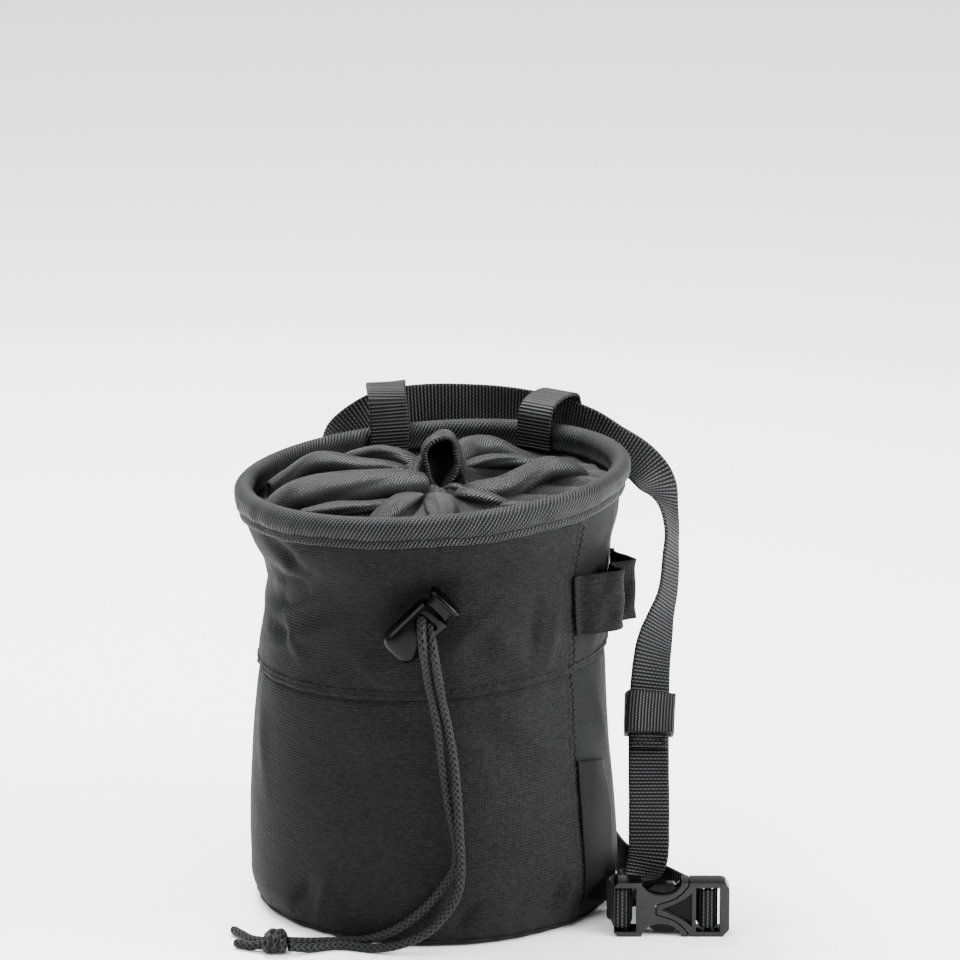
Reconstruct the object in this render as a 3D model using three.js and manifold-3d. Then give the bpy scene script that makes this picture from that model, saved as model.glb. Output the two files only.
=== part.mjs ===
// A climbing chalk bag: a soft round bag with a stiff rolled rim, a gathered closure inside it,
// a cord lock on a doubled drawcord, a brush sleeve, a label and a waist belt with a side-release buckle.
// Millimetres, +Z up. The bag stands on z = 0 with its axis on x = y = 0 and its front facing -Y.
import * as THREE from "three";
import { mergeVertices } from "three/addons/utils/BufferGeometryUtils.js";
import Module from "manifold-3d";

const wasm = await Module();
wasm.setup();

// Driving dimensions of the bag
const BAG_HEIGHT = 162; // floor to the top of the rolled rim, on the axis
const BODY_RADIUS = 66; // what the shares in SECTIONS are shares of
const RIM_RADIUS = 68.3; // outer face of the wall where the rim starts
const RIM_ROLL = 4; // degrees by which the rim's right side stands higher
const WALL = 2; // nylon and its soft lining
const SEAM_HEIGHT = 93.5; // where the upper panel ends over the lower one
const SEAM_LAP = 6;
const BASE_EDGE = 3.2; // height of the seam round the base
const BASE_ROUND = 4.5; // how far the base runs in below its seam
const BASE_FLOOR = 2; // thickness of the base
const GAP = 0.3; // between two pieces that are sewn or pressed together

// Driving dimensions of the rim, the closure and the sewn-on pieces
const BEAD_RADIUS = 3.3; // rolled top of the binding
const TAPE = 1.3; // binding tape
const OUTER_FLANGE = 11.5; // from the top of the rim down
const INNER_FLANGE = 9.5;
const WALL_TOP_DROP = 4.4; // the wall ends this far below the top of the bead
const NYLON = 1; // closure fabric
const GATHER_RADIUS = 4.6; // the closure's mouth, drawn shut
const GATHER_X = 3;
const GATHER_Y = -3;
const SLEEVE_HEIGHT = 22;
const SLEEVE_TOP = 128.7;
const SLEEVE_CLOTH = 1.3;
const LABEL_HEIGHT = 52;
const LABEL_TOP = 60.5;
const LABEL_CLOTH = 0.8;
const LABEL_TURN = 17.8; // degrees of the bag's side that the label covers
const SIDE_SEAM = -38.5; // plan angle of the upright seam, degrees

// Driving dimensions of the belt and its fittings
const WEBBING = 15; // width of the belt
const WEBBING_THICK = 1.5;
const LOOP_WIDTH = 15; // width of the strips that carry the belt
const LOOP_THICK = 1.2;
const KEEPER_HEIGHT = 15.5;
const KEEPER_THICK = 1.2;
const TAIL_LENGTH = 21; // folded end of the belt, mostly inside the keeper
const TAIL_THICK = 2.2;
const BUCKLE_LENGTH = 42;
const BUCKLE_WIDTH = 20.5;
const BUCKLE_THICK = 9;
const BUCKLE_X = 65.2; // left end of the buckle
const BUCKLE_Y = -53; // its front face

// Driving dimensions of the cord lock
const LOCK_LENGTH = 21;
const LOCK_WIDTH = 13.2;
const LOCK_DEPTH = 10;
const LOCK_WALL = 1.1;
const LOCK_LEAN = 45.5; // degrees of its axis above the horizontal
const LOCK_X = -6.4; // middle of the barrel
const LOCK_Z = 119;
const LOCK_STAND_OFF = 0.1; // from the bag's front to the barrel's back
const HOLE_WIDTH = 8.4; // two cords side by side
const HOLE_HEIGHT = 5;
const HOLE_FROM_MOUTH = 4.8; // to the hole's middle
const PLUNGER_OUT = 6.4; // stands out of the barrel at rest
const PLUNGER_HEAD = 2;
const PLUNGER_TRAVEL = 3.6;
const CORD = 3.2; // diameter of the drawcord

const TURN_STEPS = 64; // steps round the bag
const degrees = THREE.MathUtils.degToRad;
const mix = THREE.MathUtils.lerp;

// Colours
const NYLON_BLACK = { color: 0x2c2c2e, roughness: 0.86, metalness: 0 };
const CLOSURE_BLACK = { color: 0x303033, roughness: 0.55, metalness: 0 };
const WEBBING_BLACK = { color: 0x1c1c1e, roughness: 0.8, metalness: 0 };
const PLASTIC_BLACK = { color: 0x18181a, roughness: 0.35, metalness: 0 };
const PLASTIC_GREY = { color: 0x3a3a3c, roughness: 0.6, metalness: 0 };
const LABEL_GREY = { color: 0x4a4848, roughness: 0.6, metalness: 0 };

// Wall sections from the base seam to the rim. height is a share of BAG_HEIGHT; left, right, front and back
// are the outer radii on those sides as shares of BODY_RADIUS; flare is the made share of the step to
// RIM_RADIUS.
const SECTIONS = [
  { height: 0.0, left: 1.02, right: 1.024, front: 1.02, back: 1.005, flare: 0 },
  { height: 0.123, left: 1.026, right: 1.024, front: 1.022, back: 1.006, flare: 0 },
  { height: 0.247, left: 1.024, right: 1.002, front: 1.008, back: 1.0, flare: 0 },
  { height: 0.34, left: 1.014, right: 0.978, front: 0.992, back: 0.985, flare: 0 },
  { height: 0.444, left: 0.998, right: 0.962, front: 0.97, back: 0.975, flare: 0 },
  { height: 0.531, left: 0.976, right: 0.953, front: 0.953, back: 0.968, flare: 0 },
  { height: 0.577, left: 0.961, right: 0.947, front: 0.943, back: 0.962, flare: 0 },
  { height: 0.614, left: 0.966, right: 0.968, front: 0.951, back: 0.966, flare: 0 },
  { height: 0.67, left: 0.952, right: 0.974, front: 0.938, back: 0.964, flare: 0 },
  { height: 0.73, left: 0.936, right: 0.975, front: 0.93, back: 0.968, flare: 0 },
  { height: 0.784, left: 0.918, right: 0.979, front: 0.94, back: 0.978, flare: 0 },
  { height: 0.827, left: 0.94, right: 0.988, front: 0.962, back: 0.99, flare: 0.05 },
  { height: 0.87, left: 0.985, right: 1.006, front: 0.99, back: 1.0, flare: 0.3 },
  { height: 0.926, left: 1.016, right: 1.004, front: 0.998, back: 1.0, flare: 0.8 },
  { height: 1.0, left: 1.024, right: 1.016, front: 0.998, back: 1.0, flare: 1 },
];

// Folds and dents of the wall. angle and wide are in degrees, height and tall are shares of BAG_HEIGHT,
// out is a share of BODY_RADIUS (minus is a dent) and slant is degrees of turn over the fold's height.
const FOLDS = [
  { angle: 222, height: 0.7, wide: 9, tall: 0.045, out: 0.028, slant: 14 },
  { angle: 214, height: 0.77, wide: 10, tall: 0.03, out: -0.026, slant: 8 },
  { angle: 236, height: 0.64, wide: 9, tall: 0.05, out: -0.018, slant: 10 },
  { angle: 270, height: 0.775, wide: 13, tall: 0.085, out: -0.04, slant: 5 },
  { angle: 292, height: 0.7, wide: 7, tall: 0.07, out: 0.022, slant: -9 },
  { angle: 308, height: 0.66, wide: 7, tall: 0.09, out: 0.02, slant: 4 },
  { angle: 300, height: 0.8, wide: 10, tall: 0.04, out: -0.014, slant: 0 },
  { angle: 268, height: 0.49, wide: 16, tall: 0.03, out: 0.014, slant: 20 },
  { angle: 250, height: 0.4, wide: 22, tall: 0.08, out: -0.01, slant: 20 },
  { angle: 318, height: 0.12, wide: 9, tall: 0.06, out: 0.016, slant: 0 },
  { angle: 227, height: 0.09, wide: 7, tall: 0.05, out: -0.018, slant: 0 },
  { angle: 277, height: 0.07, wide: 7, tall: 0.04, out: -0.014, slant: 0 },
  { angle: 305, height: 0.08, wide: 6, tall: 0.05, out: -0.015, slant: 0 },
  { angle: 150, height: 0.7, wide: 12, tall: 0.06, out: 0.018, slant: 8 },
  { angle: 75, height: 0.66, wide: 12, tall: 0.07, out: -0.018, slant: -8 },
  { angle: 110, height: 0.3, wide: 18, tall: 0.1, out: -0.012, slant: 10 },
];

// Ridges of the gathered closure, running from its mouth towards the wall. angle and wide are in degrees,
// near and far are where a ridge starts and ends on the way from the mouth (0) to the wall (1), rise is a
// share of BEAD_RADIUS and lean turns the ridge's crest, in degrees, so that it hangs over to one side.
const RIDGES = [
  { angle: 92, wide: 19, near: -0.1, far: 0.62, rise: 6.6, lean: 0 },
  { angle: 140, wide: 12, near: 0.1, far: 0.8, rise: 2.6, lean: 6 },
  { angle: 163, wide: 12, near: 0.05, far: 1.0, rise: 3.6, lean: -8 },
  { angle: 192, wide: 14, near: 0.0, far: 1.05, rise: 3.5, lean: 10 },
  { angle: 225, wide: 11, near: 0.1, far: 0.85, rise: 1.6, lean: 8 },
  { angle: 268, wide: 13, near: -0.05, far: 0.6, rise: 1.5, lean: 0 },
  { angle: 318, wide: 10, near: -0.05, far: 0.6, rise: 1.9, lean: 6 },
  { angle: 345, wide: 9, near: -0.05, far: 0.75, rise: 2.3, lean: 6 },
  { angle: 22, wide: 13, near: 0.0, far: 1.05, rise: 4.4, lean: -10 },
  { angle: 55, wide: 12, near: 0.05, far: 0.95, rise: 3.2, lean: 8 },
];

function wrapDegrees(turn) {
  return THREE.MathUtils.euclideanModulo(turn + 180, 360) - 180;
}

// A height above the floor, tipped so that the bag's right side rises towards the rim.
function tipped(x, height) {
  const share = Math.sin((Math.PI / 2) * THREE.MathUtils.clamp(height / BAG_HEIGHT, 0, 1));
  return height + x * Math.tan(degrees(RIM_ROLL)) * share;
}

function sectionAt(height) {
  const share = Math.min(1, height / BAG_HEIGHT);
  const next = Math.max(1, SECTIONS.findIndex((row) => row.height >= share));
  const above = SECTIONS[next];
  const below = SECTIONS[next - 1];
  const part = (share - below.height) / (above.height - below.height);
  const row = {};
  for (const column of Object.keys(above)) row[column] = mix(below[column], above[column], part);
  return row;
}

function foldsAt(angle, height) {
  let out = 0;
  for (const fold of FOLDS) {
    const up = (height / BAG_HEIGHT - fold.height) / fold.tall;
    const turn = wrapDegrees(THREE.MathUtils.radToDeg(angle) - fold.angle - fold.slant * up) / fold.wide;
    out += fold.out * Math.exp(-turn * turn - up * up);
  }
  return out;
}

// Radius of the wall's outer face. angle is in radians from +X towards +Y.
function wallRadius(angle, height) {
  const row = sectionAt(height);
  const x = Math.cos(angle);
  const y = Math.sin(angle);
  const share = x * x * (x < 0 ? row.left : row.right) + y * y * (y < 0 ? row.front : row.back);
  return BODY_RADIUS * (share + foldsAt(angle, height)) + row.flare * (RIM_RADIUS - BODY_RADIUS);
}

// A point on the wall, `out` millimetres outside its outer face.
function onWall(angle, height, out = 0) {
  const radius = wallRadius(angle, height) + out;
  const x = radius * Math.cos(angle);
  return new THREE.Vector3(x, radius * Math.sin(angle), tipped(x, height));
}

// Meshes from rows of points: each row is a closed outline and the rows are joined in order.
function skin(rows, ends) {
  const count = rows[0].length;
  const points = rows.flat();
  const triangles = [];
  const bands = ends === "ring" ? rows.length : rows.length - 1;
  for (let i = 0; i < bands; i++) {
    const a = i * count;
    const b = ((i + 1) % rows.length) * count;
    for (let j = 0; j < count; j++) {
      const k = (j + 1) % count;
      triangles.push(a + j, a + k, b + k, a + j, b + k, b + j);
    }
  }
  if (ends !== "ring") {
    const last = (rows.length - 1) * count;
    for (let j = 1; j < count - 1; j++) {
      triangles.push(0, j + 1, j);
      triangles.push(last, last + j, last + j + 1);
    }
  }
  const geometry = new THREE.BufferGeometry();
  geometry.setFromPoints(points);
  geometry.setIndex(triangles);
  return facingOut(geometry);
}

// Turns the faces round where they point inwards, which the sign of the enclosed volume tells.
function facingOut(geometry) {
  const place = geometry.getAttribute("position");
  const index = geometry.index.array;
  const corner = [0, 1, 2].map(() => new THREE.Vector3());
  let volume = 0;
  for (let i = 0; i < index.length; i += 3) {
    corner.forEach((point, k) => point.fromBufferAttribute(place, index[i + k]));
    volume += corner[0].dot(corner[1].clone().cross(corner[2]));
  }
  if (volume < 0) {
    for (let i = 0; i < index.length; i += 3) [index[i + 1], index[i + 2]] = [index[i + 2], index[i + 1]];
  }
  geometry.computeVertexNormals();
  return geometry;
}

function aroundTheBag(outlineAt) {
  const rows = [];
  for (let i = 0; i < TURN_STEPS; i++) rows.push(outlineAt((2 * Math.PI * i) / TURN_STEPS));
  return skin(rows, "ring");
}

// Booleans on three.js geometries, through merged vertices.
function solidOf(geometry) {
  const bare = geometry.index ? geometry.toNonIndexed() : geometry.clone();
  for (const name of Object.keys(bare.attributes)) if (name !== "position") bare.deleteAttribute(name);
  const merged = mergeVertices(bare, 1e-4);
  return new wasm.Manifold(
    new wasm.Mesh({
      numProp: 3,
      vertProperties: merged.attributes.position.array,
      triVerts: new Uint32Array(merged.index.array),
    }),
  );
}

function geometryOf(solid) {
  const mesh = solid.getMesh();
  const geometry = new THREE.BufferGeometry();
  geometry.setAttribute("position", new THREE.BufferAttribute(new Float32Array(mesh.vertProperties), 3));
  geometry.setIndex(new THREE.BufferAttribute(new Uint32Array(mesh.triVerts), 1));
  const flat = geometry.toNonIndexed();
  flat.computeVertexNormals();
  return flat;
}

function carve(base, ...cutters) {
  let solid = solidOf(base);
  for (const cutter of cutters) solid = solid.subtract(solidOf(cutter));
  return geometryOf(solid);
}

function join(...geometries) {
  let solid = solidOf(geometries[0]);
  for (const geometry of geometries.slice(1)) solid = solid.add(solidOf(geometry));
  return geometryOf(solid);
}

function piece(name, geometry, finish) {
  const mesh = new THREE.Mesh(geometry, new THREE.MeshStandardMaterial(finish));
  mesh.name = name;
  return mesh;
}

// The bag's wall is two panels. The upper one ends over the lower one's tongue, each at half thickness there.
const LAP_GAP = 1.6 * GAP; // the round wall's flat facets take up part of it
const HALF_WALL = (WALL - LAP_GAP) / 2;
const WALL_TOP = BAG_HEIGHT - WALL_TOP_DROP;
const sectionHeights = SECTIONS.map((row) => row.height * BAG_HEIGHT);
const heightsBetween = (low, high) => sectionHeights.filter((h) => h > low + WALL && h < high - WALL);
const everyOther = (heights) => heights.filter((_, i) => i % 2);

function lowerPanel() {
  const between = heightsBetween(BASE_EDGE, SEAM_HEIGHT);
  const outer = [BASE_EDGE, ...between, SEAM_HEIGHT - GAP];
  const inner = [SEAM_HEIGHT, ...everyOther(between).reverse(), BASE_EDGE];
  return aroundTheBag((angle) => [
    ...outer.map((height) => onWall(angle, height)),
    onWall(angle, SEAM_HEIGHT - GAP, HALF_WALL - WALL),
    onWall(angle, SEAM_HEIGHT + SEAM_LAP, HALF_WALL - WALL),
    onWall(angle, SEAM_HEIGHT + SEAM_LAP, -WALL),
    ...inner.map((height) => onWall(angle, height, -WALL)),
  ]);
}

function upperPanel() {
  const low = SEAM_HEIGHT + SEAM_LAP + GAP;
  const between = heightsBetween(low, WALL_TOP);
  const outer = [SEAM_HEIGHT, low, ...between, WALL_TOP];
  const inner = [WALL_TOP, ...everyOther(between).reverse(), low];
  return aroundTheBag((angle) => [
    ...outer.map((height) => onWall(angle, height)),
    ...inner.map((height) => onWall(angle, height, -WALL)),
    onWall(angle, low, -HALF_WALL),
    onWall(angle, SEAM_HEIGHT, -HALF_WALL),
  ]);
}

// A point of the base's round edge: part is 0 at the floor and 1 at the base seam.
function baseEdge(angle, part, inset) {
  const turn = (part * Math.PI) / 2;
  const radius = wallRadius(angle, BASE_EDGE) - BASE_ROUND * (1 - Math.sin(turn)) - inset;
  const x = radius * Math.cos(angle);
  const height = part === 0 ? 0 : tipped(x, (BASE_EDGE - GAP) * (1 - Math.cos(turn)));
  return new THREE.Vector3(x, radius * Math.sin(angle), height);
}

// The base is a shallow round dish whose edge runs up to the base seam.
function basePanel() {
  const rows = [];
  for (let i = 0; i < TURN_STEPS; i++) {
    const angle = (2 * Math.PI * i) / TURN_STEPS;
    const inside = baseEdge(angle, 0.35, WALL);
    rows.push([
      baseEdge(angle, 0, 0),
      baseEdge(angle, 0.5, 0),
      baseEdge(angle, 1, 0),
      baseEdge(angle, 1, WALL),
      new THREE.Vector3(inside.x, inside.y, BASE_FLOOR),
    ]);
  }
  const count = rows[0].length;
  const points = [...rows.flat(), new THREE.Vector3(0, 0, 0), new THREE.Vector3(0, 0, BASE_FLOOR)];
  const under = points.length - 2;
  const over = points.length - 1;
  const triangles = [];
  for (let i = 0; i < TURN_STEPS; i++) {
    const a = i * count;
    const b = ((i + 1) % TURN_STEPS) * count;
    for (let j = 0; j < count - 1; j++) triangles.push(a + j, b + j, b + j + 1, a + j, b + j + 1, a + j + 1);
    triangles.push(under, b, a);
    triangles.push(over, a + count - 1, b + count - 1);
  }
  const geometry = new THREE.BufferGeometry().setFromPoints(points);
  geometry.setIndex(triangles);
  return facingOut(geometry);
}

// The rim's binding: a rolled bead over the wall's top edge with a flange down each side of it.
function rimBinding() {
  const beadHeight = BAG_HEIGHT - BEAD_RADIUS;
  const outerFace = GAP + TAPE;
  const innerFace = -WALL - GAP - TAPE;
  const bead = [];
  for (const turn of [-18, 38, 90, 142, 198]) {
    const across = -WALL / 2 + BEAD_RADIUS * Math.cos(degrees(turn));
    bead.push({ out: across, height: beadHeight + BEAD_RADIUS * Math.sin(degrees(turn)) });
  }
  const outline = [
    { out: outerFace, height: BAG_HEIGHT - OUTER_FLANGE },
    ...bead,
    { out: innerFace, height: BAG_HEIGHT - INNER_FLANGE },
    { out: innerFace + TAPE, height: BAG_HEIGHT - INNER_FLANGE },
    { out: innerFace + TAPE, height: WALL_TOP + GAP },
    { out: GAP, height: WALL_TOP + GAP },
    { out: GAP, height: BAG_HEIGHT - OUTER_FLANGE },
  ];
  return aroundTheBag((angle) => outline.map((corner) => onWall(angle, corner.height, corner.out)));
}

// The closure hangs from the wall below the inner flange and is drawn to a small mouth near the axis.
const CLOSURE_EDGE = BAG_HEIGHT - INNER_FLANGE - GAP - NYLON;

function closurePoint(angle, part) {
  const edge = onWall(angle, CLOSURE_EDGE, -WALL - GAP);
  const mouth = new THREE.Vector3(
    GATHER_X + GATHER_RADIUS * Math.cos(angle),
    GATHER_Y + GATHER_RADIUS * Math.sin(angle),
    CLOSURE_EDGE - BEAD_RADIUS,
  );
  const point = mouth.lerp(edge, part);
  const free = Math.sin(Math.PI * Math.min(1, part * 1.02)) ** 0.8;
  let rise = 0.9 * free;
  for (const ridge of RIDGES) {
    const along = (part - ridge.near) / (ridge.far - ridge.near);
    if (along <= 0 || along >= 1) continue;
    const swell = Math.sin(Math.PI * along ** 0.7);
    const turn = wrapDegrees(THREE.MathUtils.radToDeg(angle) - ridge.angle - ridge.lean * part) / ridge.wide;
    rise += ridge.rise * swell * Math.exp(-turn * turn) * Math.min(1, (1 - part) * 6);
  }
  point.z += BEAD_RADIUS * rise;
  return point;
}

function closure() {
  const parts = [1, 0.84, 0.66, 0.48, 0.31, 0.14, 0];
  const step = 1e-3;
  return aroundTheBag((angle) => {
    const top = parts.map((part) => closurePoint(angle, part));
    const under = parts.map((part, i) => {
      const across = closurePoint(angle + step, part).sub(closurePoint(angle - step, part));
      const inwards = closurePoint(angle, Math.max(0, part - step));
      const along = closurePoint(angle, Math.min(1, part + step)).sub(inwards);
      const normal = across.cross(along).normalize();
      if (normal.z < 0) normal.negate();
      if (i === 0) normal.set(0, 0, 1);
      return top[i].clone().addScaledVector(normal, -NYLON);
    });
    return [...top, ...under.reverse()];
  });
}

// A flat strip along a route. Each row of the route has a place and the direction of the strip's width.
class StripRoute {
  constructor(rows) {
    this.places = new THREE.CatmullRomCurve3(rows.map((row) => row.place), false, "centripetal");
    this.sides = new THREE.CatmullRomCurve3(rows.map((row) => row.side), false, "catmullrom", 0.5);
    this.places.arcLengthDivisions = 20 * rows.length;
    this.length = this.places.getLength();
  }

  // The strip's frame at a share t of its rows: along the route, across the strip and out of its face.
  frame(t) {
    const place = this.places.getPoint(t);
    const along = this.places.getTangent(t);
    const side = this.sides.getPoint(t);
    side.addScaledVector(along, -side.dot(along)).normalize();
    const face = new THREE.Vector3().crossVectors(along, side).normalize();
    return { place, along, side, face };
  }

  frameAtLength(distance) {
    return this.frame(this.places.getUtoTmapping(distance / this.length));
  }
}

// The point `across` and `out` millimetres from a frame's place, along its width and out of its face.
function offset(frame, across, out) {
  return frame.place.clone().addScaledVector(frame.side, across).addScaledVector(frame.face, out);
}

function stripSection(frame, width, thick) {
  const x = width / 2;
  const y = thick / 2;
  return [offset(frame, x, y), offset(frame, x, -y), offset(frame, -x, -y), offset(frame, -x, y)];
}

function strip(route, width, thick, steps) {
  const sections = [];
  for (let i = 0; i <= steps; i++) sections.push(stripSection(route.frame(i / steps), width, thick));
  return skin(sections, "capped");
}

// The two strips that carry the belt: over the rim from its inner flange to the wall below its outer flange.
// out is measured from the wall's outer face, up from the tipped rim's top and above from its height on the
// axis, all in millimetres.
const LOOP_CLEAR = GAP + LOOP_THICK / 2;
const LOOP_SAG = LOOP_WIDTH ** 2 / (8 * (RIM_RADIUS - WALL)); // the round wall's rise across a flat strip
const BELT_OUT = 10.8; // the belt's middle behind the rim, out from the wall
const BELT_SLACK = 2; // between the belt and the loops' outer side
const LOOP_TOP = 12; // above the rim's height on the axis

// Where each strip is sewn on, in degrees of plan angle; slide is how far it moves along the rim, clockwise,
// for every millimetre that it stands out.
const LOOPS = [
  { name: "loop_left", turn: 105.5, slide: 0.277 },
  { name: "loop_right", turn: 54, slide: 0 },
];

function beltLoop(loop) {
  const inside = -WALL - GAP - TAPE - LOOP_CLEAR - LOOP_SAG;
  const beadSide = WALL / 2 + BEAD_RADIUS + LOOP_CLEAR + LOOP_SAG;
  const outside = BELT_OUT + WEBBING_THICK / 2 + BELT_SLACK + LOOP_THICK / 2;
  const rows = [
    { out: inside, up: -INNER_FLANGE + GAP },
    { out: inside - 0.2, up: -BEAD_RADIUS * 2.2 },
    { out: -beadSide, up: -BEAD_RADIUS },
    { out: -beadSide + 0.4, up: BEAD_RADIUS },
    { out: -beadSide / 2, above: LOOP_TOP - 2.4 },
    { out: (outside - beadSide) / 2, above: LOOP_TOP },
    { out: outside - 1.6, above: LOOP_TOP - 0.6 },
    { out: outside, above: LOOP_TOP - 3.4 },
    { out: outside + 0.5, up: 0 },
    { out: outside + 0.2, up: -WEBBING / 2 },
    { out: outside - 2.8, up: -OUTER_FLANGE - 0.6 },
    { out: GAP + TAPE + LOOP_CLEAR + 1.8, up: -OUTER_FLANGE - 3 },
    { out: LOOP_CLEAR + 0.3, up: -OUTER_FLANGE - 6.5 },
    { out: LOOP_CLEAR, up: -OUTER_FLANGE - 10 },
  ];
  const turn = degrees(loop.turn);
  const side = new THREE.Vector3(-Math.sin(turn), Math.cos(turn), 0);
  const route = rows.map((row) => {
    const place = onWall(turn, Math.min(BAG_HEIGHT, BAG_HEIGHT + (row.up ?? 0)), row.out);
    place.z = row.above ? BAG_HEIGHT + row.above : tipped(place.x, BAG_HEIGHT) + row.up;
    place.addScaledVector(side, -loop.slide * Math.max(0, row.out));
    return { place, side };
  });
  return strip(new StripRoute(route), LOOP_WIDTH, LOOP_THICK, 26);
}

// The buckle in its own frame: along from its left end, up from its lower edge and deep from its back to its
// face.
const BAR_ALONG = 3.1; // the female end's round bar
const BAR_THICK = 2;
const LADDER_FROM = 33; // the male end's crossbar
const LADDER_TO = 35.6;
const LADDER_THICK = 2.2;
const SLOT_LONG = 4.2; // along the buckle, beside the bar
const SLOT_SIDE = (BUCKLE_WIDTH - WEBBING - 1.6) / 2; // frame left above and below a strap slot
const BACK_Y = BUCKLE_Y + BUCKLE_THICK;
const MID_Y = BUCKLE_Y + BUCKLE_THICK / 2;
const WRAP_SLACK = 0.4; // round the corners of a bar
const WRAP = GAP + WRAP_SLACK + WEBBING_THICK / 2;
const BAR_X = BUCKLE_X + BAR_ALONG;
const AXIS_Z = BUCKLE_WIDTH / 2;

// The belt's route between its two wraps in the buckle, chosen by hand: up to the rim, round behind it
// through both loops, down behind the bag and along the floor. turn is the plan angle, out the distance from
// the wall as a share of BELT_OUT, and the height is up as a share of BAG_HEIGHT and stand as a share of
// WEBBING together.
// lay is how far the belt's width stands up from the floor and to is where it points in plan, in degrees.
const BELT_ROUTE = [
  { turn: -20.3, out: 1.60, up: 0.216, stand: 0.00, to: 0, lay: 0 },
  { turn: -12.2, out: 1.27, up: 0.327, stand: 0.00, to: 0, lay: 0 },
  { turn: -2.9, out: 1.12, up: 0.457, stand: 0.00, to: 10, lay: 0 },
  { turn: 3.6, out: 1.24, up: 0.556, stand: 0.00, to: 28, lay: 0 },
  { turn: 8.2, out: 1.54, up: 0.614, stand: 0.00, to: 48, lay: 0 },
  { turn: 11.8, out: 1.91, up: 0.679, stand: 0.00, to: 62, lay: 0 },
  { turn: 15.0, out: 2.11, up: 0.750, stand: 0.00, to: 68, lay: 3 },
  { turn: 18.0, out: 2.26, up: 0.807, stand: 0.00, to: 76, lay: 10 },
  { turn: 21.8, out: 2.30, up: 0.854, stand: 0.00, to: 86, lay: 25 },
  { turn: 26.5, out: 2.21, up: 0.899, stand: 0.00, to: 96, lay: 45 },
  { turn: 31.7, out: 1.96, up: 0.937, stand: 0.00, to: 105, lay: 60 },
  { turn: 37.5, out: 1.51, up: 0.969, stand: 0.00, to: 115, lay: 74 },
  { turn: 43.9, out: 1.23, up: 0.998, stand: 0.00, to: 122, lay: 84 },
  { turn: 54.2, out: 1.05, up: 1.015, stand: 0.00, to: 0, lay: 90 },
  { turn: 67.0, out: 1.03, up: 1.023, stand: 0.00, to: 0, lay: 90 },
  { turn: 80.6, out: 1.05, up: 1.024, stand: 0.00, to: 0, lay: 90 },
  { turn: 94.3, out: 1.03, up: 1.022, stand: 0.00, to: 0, lay: 90 },
  { turn: 105.5, out: 1.02, up: 1.010, stand: 0.00, to: 0, lay: 90 },
  { turn: 114.0, out: 1.20, up: 0.962, stand: 0.00, to: 95, lay: 80 },
  { turn: 118.2, out: 1.60, up: 0.895, stand: 0.00, to: 92, lay: 56 },
  { turn: 119.6, out: 2.35, up: 0.785, stand: 0.00, to: 90, lay: 24 },
  { turn: 119.4, out: 3.48, up: 0.630, stand: 0.00, to: 88, lay: 6 },
  { turn: 117.5, out: 3.92, up: 0.463, stand: 0.00, to: 84, lay: 4 },
  { turn: 113.8, out: 4.15, up: 0.296, stand: 0.00, to: 78, lay: 10 },
  { turn: 107.9, out: 4.07, up: 0.160, stand: 0.00, to: 70, lay: 28 },
  { turn: 99.8, out: 3.69, up: 0.077, stand: 0.00, to: 60, lay: 56 },
  { turn: 89.4, out: 3.15, up: 0.000, stand: 0.55, to: 40, lay: 80 },
  { turn: 77.0, out: 2.54, up: 0.000, stand: 0.52, to: 0, lay: 90 },
  { turn: 62.2, out: 1.84, up: 0.000, stand: 0.52, to: 0, lay: 90 },
  { turn: 45.3, out: 1.19, up: 0.000, stand: 0.52, to: 0, lay: 90 },
  { turn: 26.0, out: 0.64, up: 0.000, stand: 0.52, to: 0, lay: 90 },
  { turn: 8.0, out: 0.51, up: 0.000, stand: 0.52, to: 0, lay: 90 },
  { turn: -6.6, out: 1.16, up: 0.000, stand: 0.57, to: 0, lay: 90 },
];

function beltPlace(row) {
  const radius = mix(BODY_RADIUS, RIM_RADIUS, row.up) + row.out * BELT_OUT;
  const turn = degrees(row.turn);
  const height = row.up * BAG_HEIGHT + row.stand * WEBBING;
  return new THREE.Vector3(radius * Math.cos(turn), radius * Math.sin(turn), height);
}

// Where the belt leaves the buckle's left end and comes back to its crossbar: along and behind are from there
// and from the buckle's middle, and up is the height of the belt's middle, all as shares of WEBBING.
const FROM_BAR = [
  { along: -0.01, behind: 0.41, up: 0.667, to: 0, lay: 90 },
  { along: -0.09, behind: 0.8, up: 0.613, to: 0, lay: 90 },
  { along: 0.05, behind: 1.23, up: 0.587, to: 0, lay: 88 },
  { along: 0.32, behind: 1.37, up: 0.64, to: 10, lay: 74 },
  { along: 0.63, behind: 1.27, up: 0.893, to: 8, lay: 42 },
  { along: 0.85, behind: 1.15, up: 1.467, to: 3, lay: 12 },
];
const TO_LADDER = [{ along: -0.77, behind: 1.43, up: 0.64, to: 0, lay: 90 }];

function beside(x, table) {
  return table.map((row) => ({
    place: new THREE.Vector3(x + row.along * WEBBING, MID_Y + row.behind * WEBBING, row.up * WEBBING),
    side: widthDirection(row),
  }));
}

function widthDirection(row) {
  const flat = Math.cos(degrees(row.lay));
  const plan = degrees(row.to);
  return new THREE.Vector3(flat * Math.cos(plan), flat * Math.sin(plan), Math.sin(degrees(row.lay)));
}

// The short turn of webbing round a bar that stands upright at (x, MID_Y): plan points relative to the bar.
function wrapRows(x, halfWide, halfDeep, turns) {
  return turns.map(([across, deep]) => ({
    place: new THREE.Vector3(x + across * (halfWide + WRAP), MID_Y - deep * (halfDeep + WRAP), AXIS_Z),
    side: new THREE.Vector3(0, 0, 1),
  }));
}

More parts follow.
